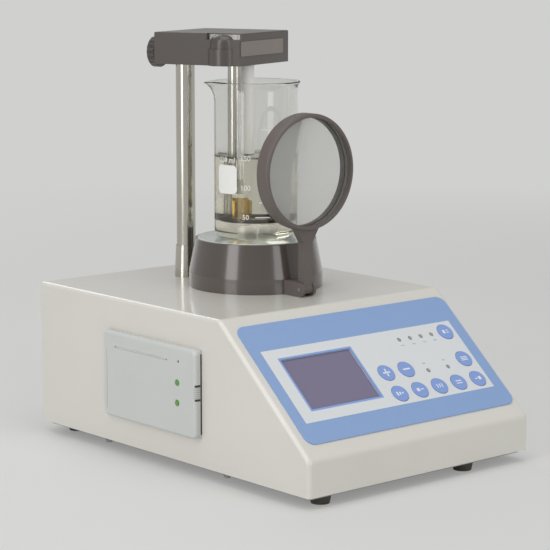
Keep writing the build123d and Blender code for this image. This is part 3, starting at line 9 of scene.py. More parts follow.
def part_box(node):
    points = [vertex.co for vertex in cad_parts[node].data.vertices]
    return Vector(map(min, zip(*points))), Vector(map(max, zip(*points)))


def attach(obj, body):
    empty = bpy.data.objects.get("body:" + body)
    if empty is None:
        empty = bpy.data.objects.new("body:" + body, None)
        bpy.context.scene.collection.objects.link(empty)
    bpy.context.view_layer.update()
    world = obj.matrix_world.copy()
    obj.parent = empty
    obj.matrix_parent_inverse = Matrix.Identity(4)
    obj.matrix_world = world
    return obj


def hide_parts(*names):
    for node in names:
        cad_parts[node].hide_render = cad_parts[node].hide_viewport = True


mm = 0.001

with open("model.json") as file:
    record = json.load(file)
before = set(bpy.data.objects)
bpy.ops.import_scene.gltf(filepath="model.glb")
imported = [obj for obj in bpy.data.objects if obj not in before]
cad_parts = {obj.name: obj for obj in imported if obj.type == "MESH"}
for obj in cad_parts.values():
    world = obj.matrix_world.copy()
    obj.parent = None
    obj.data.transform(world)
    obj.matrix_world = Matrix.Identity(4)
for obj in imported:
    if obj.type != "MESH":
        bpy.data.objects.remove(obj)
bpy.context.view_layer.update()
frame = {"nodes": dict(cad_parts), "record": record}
nodes = frame["nodes"]
scene = bpy.context.scene
print("frame loaded:", len(nodes), "nodes")


# places that more than one piece needs, read off the frame
def middle(node):
    low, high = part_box(node)
    return (low + high) / 2


caseLow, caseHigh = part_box("case_cover")
plateLow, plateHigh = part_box("cup_plate")
deckZ = caseHigh.z
midX = (caseLow.x + caseHigh.x) / 2
frontY = caseLow.y
coverZ = caseLow.z
plateTop = plateHigh.z
beakerAxis = Vector((plateLow.x + plateHigh.x, plateLow.y + plateHigh.y, 0)) / 2

# slope of the case: its run and the lip below it are the part's own sizes
slope = {"run": 90 * mm, "lip": 24 * mm}
slopeRise = deckZ - coverZ - slope["lip"]
slopeLength = math.hypot(slope["run"], slopeRise)
slopeUp = Vector((0, slope["run"] / slopeLength, slopeRise / slopeLength))
slopeOut = Vector((0, -slopeUp.z, slopeUp.y))
slopeFoot = Vector((midX, frontY, coverZ + slope["lip"]))


# shader building: a socket that does maths, and one method for every other node
class Tap:
    def __init__(self, build, socket):
        self.build = build
        self.socket = socket

    def maths(self, operation, first, second):
        return self.build.add("ShaderNodeMath", {"operation": operation}, {0: first, 1: second})

    def __add__(self, other):
        return self.maths("ADD", self, other)

    __radd__ = __add__

    def __sub__(self, other):
        return self.maths("SUBTRACT", self, other)

    def __rsub__(self, other):
        return self.maths("SUBTRACT", other, self)

    def __mul__(self, other):
        return self.maths("MULTIPLY", self, other)

    def __truediv__(self, other):
        return self.maths("DIVIDE", self, other)

    def __abs__(self):
        return self.maths("ABSOLUTE", self, 0.0)

    def above(self, limit):
        return self.maths("GREATER_THAN", self, limit)

    def below(self, limit):
        return self.maths("LESS_THAN", self, limit)

    def larger(self, other):
        return self.maths("MAXIMUM", self, other)

    def smaller(self, other):
        return self.maths("MINIMUM", self, other)


class Finish:
    def __init__(self, name, **shaderValues):
        self.material = bpy.data.materials.new(name)
        self.material.use_nodes = True
        self.tree = self.material.node_tree
        self.shader = self.tree.nodes["Principled BSDF"]
        self.output = self.tree.nodes["Material Output"]
        for key, value in shaderValues.items():
            self.feed(key, value)

    def add(self, kind, settings=None, inputs=None, output=0):
        node = self.tree.nodes.new(kind)
        for key, value in (settings or {}).items():
            if key == "stops":
                ramp = node.color_ramp.elements
                while len(ramp) < len(value):
                    ramp.new(1.0)
                for stop, (place, colour) in zip(ramp, value):
                    stop.position = place
                    stop.color = colour
            else:
                setattr(node, key, value)
        for key, value in (inputs or {}).items():
            if isinstance(value, Tap):
                self.tree.links.new(value.socket, node.inputs[key])
            else:
                node.inputs[key].default_value = value
        return Tap(self, node.outputs[output])

    def feed(self, socketName, value):
        socket = self.shader.inputs[socketName.replace("_", " ")]
        if isinstance(value, Tap):
            self.tree.links.new(value.socket, socket)
        else:
            socket.default_value = value

    def place(self):
        return self.add("ShaderNodeTexCoord", output=3)

    def axis(self, vector, n):
        return self.add("ShaderNodeSeparateXYZ", None, {0: vector}, output=n)

    def noise(self, scale, detail=3.0, stretch=(1, 1, 1)):
        spot = self.add("ShaderNodeMapping", None, {"Vector": self.place(), "Scale": stretch})
        return self.add(
            "ShaderNodeTexNoise", None, {"Vector": spot, "Scale": scale, "Detail": detail}
        )

    def blend(self, share, first, second):
        return self.add(
            "ShaderNodeMix",
            {"data_type": "RGBA"},
            {0: share, 6: first, 7: second},
            output=2,
        )

    def bump(self, height, strength, distance):
        self.feed(
            "Normal",
            self.add(
                "ShaderNodeBump",
                None,
                {"Height": height, "Strength": strength, "Distance": distance},
            ),
        )


def colour(code, alpha=1.0):
    parts = [int(code[n : n + 2], 16) / 255 for n in (0, 2, 4)]
    linear = [p / 12.92 if p <= 0.04045 else ((p + 0.055) / 1.055) ** 2.4 for p in parts]
    return (*linear, alpha)


def shade(code, amount):
    return tuple(min(1.0, part * amount) for part in colour(code)[:3]) + (1.0,)


# a coloured surface whose tone and gloss drift a little, with a fine relief
def surface(name, code, rough=0.4, drift=0.06, scale=60, grain=900, relief=0.04, depth=0.02, **more):
    finish = Finish(name, **more)
    cloud = finish.noise(scale, 4)
    finish.feed("Base Color", finish.blend(cloud, shade(code, 1 - drift), shade(code, 1 + drift)))
    finish.feed("Roughness", rough + (finish.noise(scale * 3, 3) - 0.5) * rough * 0.5)
    finish.bump(finish.noise(grain, 2), relief, depth * mm)
    return finish.material


def enamelFinish():
    finish = Finish("caseEnamel", IOR=1.5, Coat_Weight=0.5, Coat_Roughness=0.1)
    cloud = finish.noise(14, 4)
    finish.feed("Base Color", finish.blend(cloud, colour("d9d6ce"), colour("e1dfd8")))
    finish.feed("Roughness", 0.3 + (finish.noise(40, 3) - 0.5) * 0.1)
    finish.bump(finish.noise(420, 2), 0.12, 0.05 * mm)
    return finish.material


def brushedFinish(name, code, rough, stretch, lines=0.2):
    finish = Finish(name, Metallic=1.0)
    streak = finish.noise(300, 3, stretch)
    finish.feed("Base Color", finish.blend(streak, shade(code, 0.88), shade(code, 1.08)))
    finish.feed("Roughness", rough + (streak - 0.5) * rough)
    finish.bump(streak, lines, 0.01 * mm)
    return finish.material


def chromeFinish():
    finish = Finish("postChrome", Metallic=1.0)
    streak = finish.noise(220, 3, (1, 1, 0.02))
    cloud = finish.noise(30, 3)
    finish.feed("Base Color", finish.blend(cloud, colour("b9b6ab"), colour("c9c7be")))
    finish.feed("Roughness", 0.16 + (streak - 0.5) * 0.08)
    finish.bump(streak, 0.05, 0.01 * mm)
    return finish.material


# clear body that bends light and lets lamps shine through to what stands in it
def glassFinish(name, code, index, shadow=0.93, rough=0.0):
    finish = Finish(name, IOR=index, Transmission_Weight=1.0, Roughness=rough)
    smear = finish.noise(25, 3)
    finish.feed("Base Color", finish.blend(smear, colour(code), shade(code, 1.03)))
    clear = finish.add("ShaderNodeBsdfTransparent", None, {"Color": (shadow, shadow, shadow, 1)})
    shadowRay = finish.add("ShaderNodeLightPath", output=1)
    body = Tap(finish, finish.shader.outputs[0])
    mixed = finish.add("ShaderNodeMixShader", None, {0: shadowRay, 1: body, 2: clear})
    finish.tree.links.new(mixed.socket, finish.output.inputs["Surface"])
    return finish.material


# drawn sheath that the bath has darkened up to just above the ring
bathStain = {"fade": 3.0, "start": 1.4, "ragged": 0.4}


def heaterFinish():
    finish = Finish("heaterSheath", Metallic=1.0)
    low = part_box("heater")[0]
    streak = finish.noise(260, 3, (1, 1, 0.1))
    height = (finish.axis(finish.place(), 2) - low.z) / (bathStain["fade"] * mm)
    height = height + (finish.noise(400, 3) - 0.5) * bathStain["ragged"]
    bright = (height - bathStain["start"]).larger(0.0).smaller(1.0)
    dark = finish.blend(streak, colour("3a352e"), colour("5a5246"))
    clean = finish.blend(streak, colour("aeaca4"), colour("c6c4bc"))
    finish.feed("Base Color", finish.blend(bright, dark, clean))
    finish.feed("Roughness", 0.4 - bright * 0.15 + (streak - 0.5) * 0.1)
    finish.bump(streak, 0.15, 0.01 * mm)
    return finish.material


# thin glass that doesn't bend what is behind it: clear with a sheen at its edge
def lensFinish():
    finish = Finish("lensGlass", Roughness=0.03, IOR=1.5)
    finish.feed("Base Color", colour("dcdcda"))
    clear = finish.add("ShaderNodeBsdfTransparent", None, {"Color": (0.9, 0.9, 0.89, 1)})
    edge = finish.add("ShaderNodeFresnel", None, {"IOR": 1.45})
    dust = finish.noise(90, 4) * 0.06
    mixed = finish.add("ShaderNodeMixShader", None, {0: (edge + dust).smaller(1.0), 1: clear})
    finish.tree.links.new(finish.shader.outputs[0], mixed.socket.node.inputs[2])
    finish.tree.links.new(mixed.socket, finish.output.inputs["Surface"])
    return finish.material


# printed membrane: light blue border, pale field, a line round the screen
overlayPrint = {
    "border": "8ca9d6",
    "field": "dfe2e4",
    "outline": "86a8e0",
    "fieldBox": (-86, 89, 28.2, 88.8),
    "screenBox": (-76.0, -10.8, 36.4, 81.4),
    "captions": [
        (34.2, 74.6),
        (44.6, 74.6),
        (55.0, 74.6),
        (65.4, 74.6),
        (41.4, 57.2),
        (60.6, 57.2),
    ],
    "captionSize": (3.0, 1.1),
    "captionInk": "7f93c4",
}


def overlayFinish():
    finish = Finish("overlayFilm", Coat_Weight=0.3, Coat_Roughness=0.2)
    spot = finish.place()
    across = finish.axis(spot, 0) / mm - midX / mm
    rise = finish.add(
        "ShaderNodeVectorMath",
        {"operation": "DOT_PRODUCT"},
        {0: spot, 1: slopeUp},
        output=1,
    )
    up = rise / mm - slopeFoot.dot(slopeUp) / mm

    def inside(left, right, low, high):
        sideways = abs(across - (left + right) / 2) - (right - left) / 2
        upward = abs(up - (low + high) / 2) - (high - low) / 2
        return sideways.larger(upward).below(0.0)

    field = inside(*overlayPrint["fieldBox"])
    outline = inside(*overlayPrint["screenBox"])
    grain = finish.noise(500, 2)
    edgeTone, fieldTone = overlayPrint["border"], overlayPrint["field"]
    border = finish.blend(grain, shade(edgeTone, 0.97), shade(edgeTone, 1.03))
    pale = finish.blend(grain, shade(fieldTone, 0.98), shade(fieldTone, 1.02))
    paint = finish.blend(field, border, pale)
    paint = finish.blend(outline, paint, colour(overlayPrint["outline"]))
    halfWide, halfHigh = (side / 2 for side in overlayPrint["captionSize"])
    for x, y in overlayPrint["captions"]:
        dash = inside(x - halfWide, x + halfWide, y - halfHigh, y + halfHigh)
        weave = (finish.noise(2500, 2) - 0.45).above(0.0)
        paint = finish.blend(dash * weave * 0.7, paint, colour(overlayPrint["captionInk"]))
    finish.feed("Base Color", paint)
    finish.feed("Roughness", 0.42 + (grain - 0.5) * 0.08)
    finish.bump(grain, 0.06, 0.02 * mm)
    return finish.material


finishes = {
    "cover_paint": enamelFinish(),
    "base_zinc": brushedFinish("zincPlate", "9a9c9e", 0.4, (1, 0.1, 1)),
    "foot_rubber": surface("footRubber", "4a463f", 0.8, 0.1, 120, 1500, 0.2, 0.05),
    "screw_steel": brushedFinish("screwSteel", "a8a8a6", 0.3, (1, 1, 1)),
    "overlay_film": overlayFinish(),
    "clear_window": surface(
        "displayWindow", "7a738f", 0.08, 0.04, 12, 300, 0.0, 0.01, Coat_Weight=1.0, Coat_Roughness=0.02
    ),
    "circuit_board": surface("circuitBoard", "1f5a38", 0.45, 0.12, 90, 700, 0.1, 0.05),
    "key_blue": surface("keyBlue", "88a4dd", 0.4, 0.03, 200, 900, 0.05, 0.02),
    "lamp_lens": surface("lampLens", "9a9c9c", 0.25, 0.08, 300),
    "spacer_nylon": surface("spacerNylon", "d8d6ce", 0.5),
    "cup_dark": surface(
        "cupLacquer", "544c47", 0.22, 0.05, 40, 700, 0.03, 0.01, Coat_Weight=0.9, Coat_Roughness=0.1
    ),
    "plate_pale": surface(
        "cupPlate", "d2dbd4", 0.12, 0.04, 30, 400, 0.02, 0.01, Coat_Weight=0.6, Coat_Roughness=0.04
    ),
    "beaker_glass": glassFinish("beakerGlass", "f1f1ef", 1.47),
    "ptfe_white": surface("ptfeWhite", "f9f8f4", 0.3, 0.02, 80, 600, 0.05, 0.02),
    "rotor_steel": brushedFinish("rotorSteel", "8d8d8b", 0.35, (1, 1, 1)),
    "post_chrome": chromeFinish(),
    "collar_dark": surface("darkMoulding", "675f5b", 0.45, 0.07, 70, 1200, 0.2, 0.04),
    "head_dark": surface(
        "headMoulding", "4b4440", 0.42, 0.07, 60, 1500, 0.3, 0.04, Coat_Weight=0.6, Coat_Roughness=0.22
    ),
    "head_inset": surface("insetPlate", "8d847e", 0.4, 0.05, 100, 1200, 0.1, 0.02),
    "steel_bright": brushedFinish("drawnSteel", "bdbbb3", 0.2, (1, 1, 0.04)),
    "heater_sheath": heaterFinish(),
    "holder_brass": brushedFinish("holderBrass", "c9a84e", 0.22, (0.2, 0.2, 4)),
    "lens_glass": lensFinish(),
    "printer_grey": surface("printerGrey", "cdcfcd", 0.38, 0.03, 50, 1300, 0.12, 0.03),
    "key_green": surface("keyGreen", "5c9a48", 0.35, 0.06, 300),
    "mechanism_black": surface("blackMoulding", "262626", 0.45, 0.1, 90, 1100, 0.15, 0.04),
    "platen_rubber": surface("platenRubber", "242322", 0.7, 0.1, 150),
    "paper_white": surface("paperRoll", "efece4", 0.75, 0.03, 200, 900, 0.2, 0.05),
    "core_steel": surface("coreSteel", "4a4a4e", 0.5, 0.1, 90),
}
print("finishes ready:", len(finishes))

# the CAD nodes take their finish from their material slot
slotOfNode = {entry["node"]: entry["material_slot"] for entry in frame["record"]["subparts"]}
for name, node in nodes.items():
    node.data.materials.clear()
    node.data.materials.append(finishes[slotOfNode[name]])
    for face in node.data.polygons:
        face.use_smooth = True
    node.data.set_sharp_from_angle(angle=math.radians(32))
print("nodes dressed")


# mesh helpers
def meshObject(name, verts, faces, material, smooth=True):
    mesh = bpy.data.meshes.new(name)
    mesh.from_pydata([tuple(v) for v in verts], [], faces)
    mesh.validate()
    built = bpy.data.objects.new(name, mesh)
    scene.collection.objects.link(built)
    mesh.materials.append(material)
    if smooth:
        mesh.shade_smooth()
        mesh.set_sharp_from_angle(angle=math.radians(40))
    return built


def addPiece(piece, body, slotName, *replaced):
    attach(piece, body)
    if replaced:
        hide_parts(*replaced)
    return piece


# turns an outline of (radius, height) points in millimetres round an upright axis
def turned(name, outline, centre, material, steps):
    verts, faces = [], []
    for n in range(steps):
        angle = 2 * math.pi * n / steps
        for radius, height in outline:
            verts.append(
                (
                    centre.x + radius * mm * math.cos(angle),
                    centre.y + radius * mm * math.sin(angle),
                    centre.z + height * mm,
                )
            )
    count = len(outline)
    for n in range(steps):
        here, there = n * count, ((n + 1) % steps) * count
        for k in range(count - 1):
            faces.append((here + k, there + k, there + k + 1, here + k + 1))
    built = meshObject(name, verts, faces, material)
    welded = bmesh.new()
    welded.from_mesh(built.data)
    bmesh.ops.remove_doubles(welded, verts=welded.verts, dist=0.01 * mm)
    bmesh.ops.recalc_face_normals(welded, faces=welded.faces)
    welded.to_mesh(built.data)
    welded.free()
    return built


def arcPoints(centreR, centreZ, radius, start, end, steps):
    points = []
    for n in range(steps + 1):
        angle = math.radians(start + (end - start) * n / steps)
        points.append((centreR + radius * math.cos(angle), centreZ + radius * math.sin(angle)))
    return points


# Beaker: one turned wall with a rolled rim, pulled out into a spout
beakerForm = {
    "radius": 30.0,
    "height": 112.0,
    "wall": 1.5,
    "heel": 6.0,
    "flare": 2.7,
    "flareHeight": 6.0,
    "flareCurve": 2.2,
    "spoutAngle": 139.2,
    "spoutReach": 5.4,
    "spoutSpread": 17.0,
    "spoutDrop": 15.0,
    "spoutDip": 1.0,
    "spoutFrom": 10.0,
    "axisGap": 0.001,
    "heelSteps": 10,
    "wallSteps": 6,
    "topSteps": 24,
    "rimSteps": 6,
    "around": 160,
}
beakerFoot = Vector((beakerAxis.x, beakerAxis.y, plateTop))


def beakerOutline():
    form = beakerForm
    radius, wall, heel = form["radius"], form["wall"], form["heel"]
    bend = form["heelSteps"]
    shoulder = form["height"] - form["spoutDrop"]
    outer = [(form["axisGap"], 0.0)]
    outer += arcPoints(radius - heel, heel, heel, -90, 0, bend)
    for n in range(1, form["wallSteps"] + 1):
        outer.append((radius, heel + (shoulder - heel) * n / form["wallSteps"]))
    wallTop = form["height"] - wall / 2
    for n in range(1, form["topSteps"] + 1):
        z = shoulder + (wallTop - shoulder) * n / form["topSteps"]
        share = max(0.0, (z - (form["height"] - form["flareHeight"])) / form["flareHeight"])
        outer.append((radius + form["flare"] * share ** form["flareCurve"], z))
    rim = arcPoints(outer[-1][0] - wall / 2, outer[-1][1], wall / 2, 20, 160, form["rimSteps"])
    inner = [(r - wall, z) for r, z in outer[:bend:-1] if z >= heel]
    floor = arcPoints(radius - heel, heel, heel - wall, 0, -90, bend)
    return outer + rim + inner + floor + [(form["axisGap"], wall)]


def pullSpout(built):
    form = beakerForm
    for vert in built.data.vertices:
        offset = vert.co - beakerFoot
        radius = math.hypot(offset.x, offset.y) / mm
        z = offset.z / mm
        share = max(0.0, (z - (form["height"] - form["spoutDrop"])) / form["spoutDrop"])
        if share == 0 or radius < form["spoutFrom"]:
            continue
        turn = math.degrees(math.atan2(offset.y, offset.x)) - form["spoutAngle"]
        turn = (turn + 180) % 360 - 180
        pull = math.exp(-((turn / form["spoutSpread"]) ** 2)) * share**2
        grow = (radius + form["spoutReach"] * pull) / radius
        vert.co.x = beakerFoot.x + offset.x * grow
        vert.co.y = beakerFoot.y + offset.y * grow
        vert.co.z -= form["spoutDip"] * pull * mm


def buildBeaker():
    built = turned(
        "BeakerGlass", beakerOutline(), beakerFoot, finishes["beaker_glass"], beakerForm["around"]
    )
    pullSpout(built)
    addPiece(built, "case", "beaker_glass", "beaker")


buildBeaker()

# Oil fills the glass to its level, a little into the wall so that no gap shows
oilForm = {
    "level": 58.2,
    "overlap": 0.08,
    "meniscus": 1.6,
    "climbWidth": 3.0,
    "climbCurve": 2.5,
    "climbSteps": 8,
    "tint": "e3e0d2",
    "index": 1.4,
    "shadow": 0.97,
}


def buildOil():
    form, glass = oilForm, beakerForm
    level, meniscus = form["level"], form["meniscus"]
    inside = glass["radius"] - glass["wall"] + form["overlap"]
    heel = glass["heel"] - glass["wall"] + form["overlap"]
    outline = [(glass["axisGap"], glass["wall"] - form["overlap"])]
    outline += arcPoints(inside - heel, glass["heel"], heel, -90, 0, glass["heelSteps"])
    outline += [(inside, level + meniscus)]
    for n in range(1, form["climbSteps"] + 1):
        share = n / form["climbSteps"]
        climb = meniscus * (1 - share) ** form["climbCurve"]
        outline.append((inside - form["climbWidth"] * share, level + climb))
    outline.append((glass["axisGap"], level))
    oil = glassFinish("bathOil", form["tint"], form["index"], form["shadow"])
    built = turned("SiliconeOil", outline, beakerFoot, oil, glass["around"])
    addPiece(built, "case", "beaker_glass")


buildOil()
print("beaker and oil built")

# Marks on the glass: flat shapes bent onto its wall
glassMarks = {
    "facing": 229.2,
    "proud": 0.06,
    # turn, height, width, tall, corner
    "patch": (-43.5, 43.6, 18.0, 20.4, 2.6),
    # turn, height, digits, size
    "capacity": (-43.0, 57.4, "250 ml", 5.4),
    # turn, height, digits
    "numbers": [
        (-13.8, 38.0, "100"),
        (-13.5, 17.2, "50"),
        (-13.8, 59.0, "150"),
        (31.5, 38.0, "100"),
        (30.5, 59.6, "150"),
    ],
    "numberSize": 5.0,
    # turn, height, length
    "lines": [
        (10.0, 17.3, 11.0),
        (9.0, 38.6, 7.0),
        (9.5, 27.8, 5.0),
        (9.0, 48.5, 5.0),
        (27.0, 79.5, 20.0),
    ],
    "lineHeight": 0.7,
    "patchColumns": 12,
    "lineColumns": 8,
}


def bendOnGlass(name, flat, turn, height, material):
    verts, faces = flat
    radius = (beakerForm["radius"] + glassMarks["proud"]) * mm
    middleAngle = math.radians(glassMarks["facing"] + turn)
    bent = []
    for x, y in verts:
        angle = middleAngle + x * mm / radius
        bent.append(
            (
                beakerAxis.x + radius * math.cos(angle),
                beakerAxis.y + radius * math.sin(angle),
                plateTop + (height + y) * mm,
            )
        )
    addPiece(meshObject(name, bent, faces, material), "case", "beaker_glass")


# flat patch with rounded ends, in columns so that it can be bent
def gridPatch(width, height, corner, columns):
    verts, faces = [], []
    for n in range(columns + 1):
        x = width * (n / columns - 0.5)
        over = max(0.0, abs(x) - (width / 2 - corner))
        y = height / 2 - corner + math.sqrt(max(0.0, corner**2 - over**2))
        verts += [(x, -y), (x, y)]
    for n in range(columns):
        faces.append((2 * n, 2 * n + 2, 2 * n + 3, 2 * n + 1))
    return verts, faces


def digitsOutline(digits, size):
    curve = bpy.data.curves.new("digits", "FONT")
    curve.body = digits
    curve.size = size
    curve.align_x = "CENTER"
    curve.align_y = "CENTER"
    holder = bpy.data.objects.new("digits", curve)
    scene.collection.objects.link(holder)
    graph = bpy.context.evaluated_depsgraph_get()
    mesh = bpy.data.meshes.new_from_object(holder.evaluated_get(graph))
    bpy.data.objects.remove(holder)
    split = bmesh.new()
    split.from_mesh(mesh)
    bmesh.ops.triangulate(split, faces=split.faces)
    split.to_mesh(mesh)
    split.free()
    verts = [(v.co.x, v.co.y) for v in mesh.vertices]
    faces = [tuple(p.vertices) for p in mesh.polygons]
    bpy.data.meshes.remove(mesh)
    return verts, faces


def buildGlassMarks():
    marks = glassMarks
    white = surface("glassEnamel", "f1f1ee", 0.6, 0.03, 300)
    turn, height, width, tall, corner = marks["patch"]
    patch = gridPatch(width, tall, corner, marks["patchColumns"])
    bendOnGlass("WritingPatch", patch, turn, height, white)
    turn, height, digits, size = marks["capacity"]
    bendOnGlass("CapacityMark", digitsOutline(digits, size), turn, height, white)
    for n, (turn, height, digits) in enumerate(marks["numbers"]):
        number = digitsOutline(digits, marks["numberSize"])
        bendOnGlass(f"VolumeMark{n + 1}", number, turn, height, white)
    thick = marks["lineHeight"]
    for n, (turn, height, length) in enumerate(marks["lines"]):
        line = gridPatch(length, thick, thick / 4, marks["lineColumns"])
        bendOnGlass(f"VolumeLine{n + 1}", line, turn, height, white)


buildGlassMarks()
print("glass marks built")

# Magnifier lens: one smooth turned body in its ring
lensForm = {"radius": 38.9, "edge": 1.5, "crown": 4.1, "steps": 16, "around": 96}


def buildLens():
    form = lensForm
    outline = []
    for n in range(form["steps"] + 1):
        share = n / form["steps"]
        bulge = (form["crown"] - form["edge"]) * (1 - share**2)
        outline.append((form["radius"] * share, form["edge"] + bulge))
    outline += [(r, -h) for r, h in reversed(outline)]
    built = turned("MagnifierLens", outline, Vector(), finishes["lens_glass"], form["around"])
    upright = Matrix.Rotation(math.radians(90), 4, "X")
    built.data.transform(Matrix.Translation(middle("magnifier_lens")) @ upright)
    addPiece(built, "magnifier", "lens_glass", "magnifier_lens")


buildLens()

# Signs on the keys, a hair proud of their caps: bars as (across, up, width, height)
keySigns = {
    "proud": 0.03,
    "signs": {
        "key_plus": [(0, 0, 6.4, 1.2), (0, 0, 1.2, 6.4)],
        "key_minus": [(0, 0, 6.4, 1.2)],
        "key_right_top": [(-1.7, 0, 2.2, 3.0), (1.7, 0.9, 2.2, 0.7), (1.7, -0.9, 2.2, 0.7)],
        "key_right_middle": [(0, 1.3, 6.0, 0.7), (0, 0, 6.0, 0.7), (0, -1.3, 6.0, 0.7)],
        "key_row_1": [(-2.6, 0, 1.4, 3.2), (-0.2, 0, 1.4, 2.2), (2.2, 0, 1.4, 1.2)],
        "key_row_2": [(-1.8, 0, 2.6, 2.6), (1.8, 0, 2.6, 0.8)],
        "key_row_3": [(-2.2, 0, 0.8, 3.2), (0, 0, 0.8, 3.2), (2.2, 0, 0.8, 3.2)],
        "key_row_4": [(0, 1.0, 5.4, 0.8), (0, -1.0, 5.4, 0.8)],
        "key_row_5": [(-1.6, 0, 2.4, 0.8), (1.6, 0, 2.4, 2.8)],
    },
}


def buildKeySigns():
    white = surface("keyPrint", "e9ecf4", 0.5, 0.02, 300)
    for keyName, bars in keySigns["signs"].items():
        spots = [v.co for v in nodes[keyName].data.vertices]
        top = max(spot.dot(slopeOut) for spot in spots)
        low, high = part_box(keyName)
        across = (low.x + high.x) / 2
        heights = [spot.dot(slopeUp) for spot in spots]
        up = (min(heights) + max(heights)) / 2
        verts, faces = [], []
        for x, y, width, height in bars:
            first = len(verts)
            for sideways, upward in ((-1, -1), (1, -1), (1, 1), (-1, 1)):
                spot = slopeUp * (up + (y + upward * height / 2) * mm)
                spot += slopeOut * (top + keySigns["proud"] * mm)
                verts.append((across + (x + sideways * width / 2) * mm, spot.y, spot.z))
            faces.append((first, first + 1, first + 2, first + 3))
        sign = meshObject("Sign_" + keyName, verts, faces, white, False)
        addPiece(sign, keyName, "key_blue")


buildKeySigns()
print("lens and key signs built")

# Printer: paper end in the slit, a dark strip beside the door as painted shade in the gap there, and
# painted shade in the slots and between the ribs of its latch
printerTrim = {
    "centreY": 15.5,
    "slitZ": 78.1,
    "paperWidth": 57.0,
    "paperThick": 0.5,
    "paperInset": 0.15,
    "paperDepth": 2.4,
    "paperWave": 0.06,
    "waveTurn": 19.0,
    "paperParts": 48,
    "edge": 2.6,
    "edgeProud": 0.04,
    "edgeBack": 2.0,
    "edgeSteps": 8,
    "slots": (64.1, 54.5),
    "slotHeight": 1.5,
    "slotTurn": 40,
    "ribs": 6,
    "ribHeight": 0.4,
    "ribTurn": 20,
    "gapShadeThick": 0.16,
    "gapShadeOffset": 0.02,
    "gapShadeOut": 1.15,
    "gapShadeIn": 0.05,
    "gapShadeShort": 3.0,
}


# box from corner to corner, in parts along Y that may follow a small wave
def boxPiece(name, low, high, material, wave=0.0, parts=1):
    verts, faces = [], []
    for n in range(parts + 1):
        share = n / parts
        y = low.y + (high.y - low.y) * share
        shift = wave * math.sin(share * printerTrim["waveTurn"]) * mm
        for x, z in ((low.x, low.z), (high.x, low.z), (high.x, high.z), (low.x, high.z)):
            verts.append((x, y, z + shift))
    for n in range(parts):
        for k in range(4):
            after = (k + 1) % 4
            faces.append((4 * n + k, 4 * n + after, 4 * n + 4 + after, 4 * n + 4 + k))
    faces += [(3, 2, 1, 0), tuple(4 * parts + k for k in range(4))]
    return meshObject(name, verts, faces, material, False)


# strip that follows the door's rounded edge from a turn on its arc to the seam
def edgeStrip(name, corner, height, tall, start, material):
    edge, proud = printerTrim["edge"], printerTrim["edgeProud"]
    steps = printerTrim["edgeSteps"]
    path = []
    for n in range(steps + 1):
        angle = math.radians(start + (90 - start) * n / steps)
        path.append(
            (edge - (edge + proud) * math.cos(angle), edge - (edge + proud) * math.sin(angle))
        )
    path.append((edge + printerTrim["edgeBack"], -proud))
    verts, faces = [], []
    for x, y in path:
        for z in (height - tall / 2, height + tall / 2):
            verts.append((corner.x + x * mm, corner.y + y * mm, z * mm))
    for n in range(len(path) - 1):
        faces.append((2 * n, 2 * n + 2, 2 * n + 3, 2 * n + 1))
    addPiece(meshObject(name, verts, faces, material), "printer_door", "printer_grey")


def buildPaperEnd():
    trim = printerTrim
    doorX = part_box("printer_door")[0].x
    half, thick = trim["paperWidth"] / 2, trim["paperThick"] / 2
    left, right = (trim["centreY"] - half) * mm, (trim["centreY"] + half) * mm
    low, high = (trim["slitZ"] - thick) * mm, (trim["slitZ"] + thick) * mm
    paper = boxPiece(
        "PaperEnd",
        Vector((doorX + trim["paperInset"] * mm, left, low)),
        Vector((doorX + trim["paperDepth"] * mm, right, high)),
        finishes["paper_white"],
        trim["paperWave"],
        trim["paperParts"],
    )
    addPiece(paper, "printer_door", "paper_white")


# dark strip in the gap beside the door, standing for the shade that falls there: painted shade
def buildDoorGapShade():
    trim = printerTrim
    low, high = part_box("printer_door")
    short = trim["gapShadeShort"] * mm
    gapShade = boxPiece(
        "DoorGapShade",
        Vector((caseLow.x - trim["gapShadeOut"] * mm, low.y + trim["gapShadeOffset"] * mm, low.z + short)),
        Vector((caseLow.x - trim["gapShadeIn"] * mm, low.y + trim["gapShadeThick"] * mm, high.z - short)),
        finishes["platen_rubber"],
    )
    addPiece(gapShade, "case", "mechanism_black")


def buildLatch():
    trim = printerTrim
    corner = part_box("printer_door")[0]
    # dark strips in the latch slots and slightly darker strips between its ribs are painted shade of
    # the recesses
    shadow = surface("slotShade", "3c3a37", 0.7, 0.05, 200)
    grooveShade = surface("ribShade", "a3a5a3", 0.5, 0.03, 200)
    highSlot, lowSlot = trim["slots"]
    for n, height in enumerate(trim["slots"]):
        edgeStrip(f"LatchSlotShade{n + 1}", corner, height, trim["slotHeight"], trim["slotTurn"], shadow)
    for n in range(trim["ribs"]):
        height = lowSlot + (highSlot - lowSlot) * (n + 1) / (trim["ribs"] + 1)
        edgeStrip(f"LatchRibShade{n + 1}", corner, height, trim["ribHeight"], trim["ribTurn"], grooveShade)


buildPaperEnd()
buildDoorGapShade()
buildLatch()

# Bright steel strip on the wall of the head's step, a painted highlight for the light that the head's
# top edge catches there; measured from the post's axis
headHighlightStrip = {
    "turn": 21.0,
    "drop": 23.0,
    "left": -22.8,
    "front": -59.0,
    "back": -33.2,
    "low": 18.6,
    "high": 22.2,
    "thick": 0.3,
}


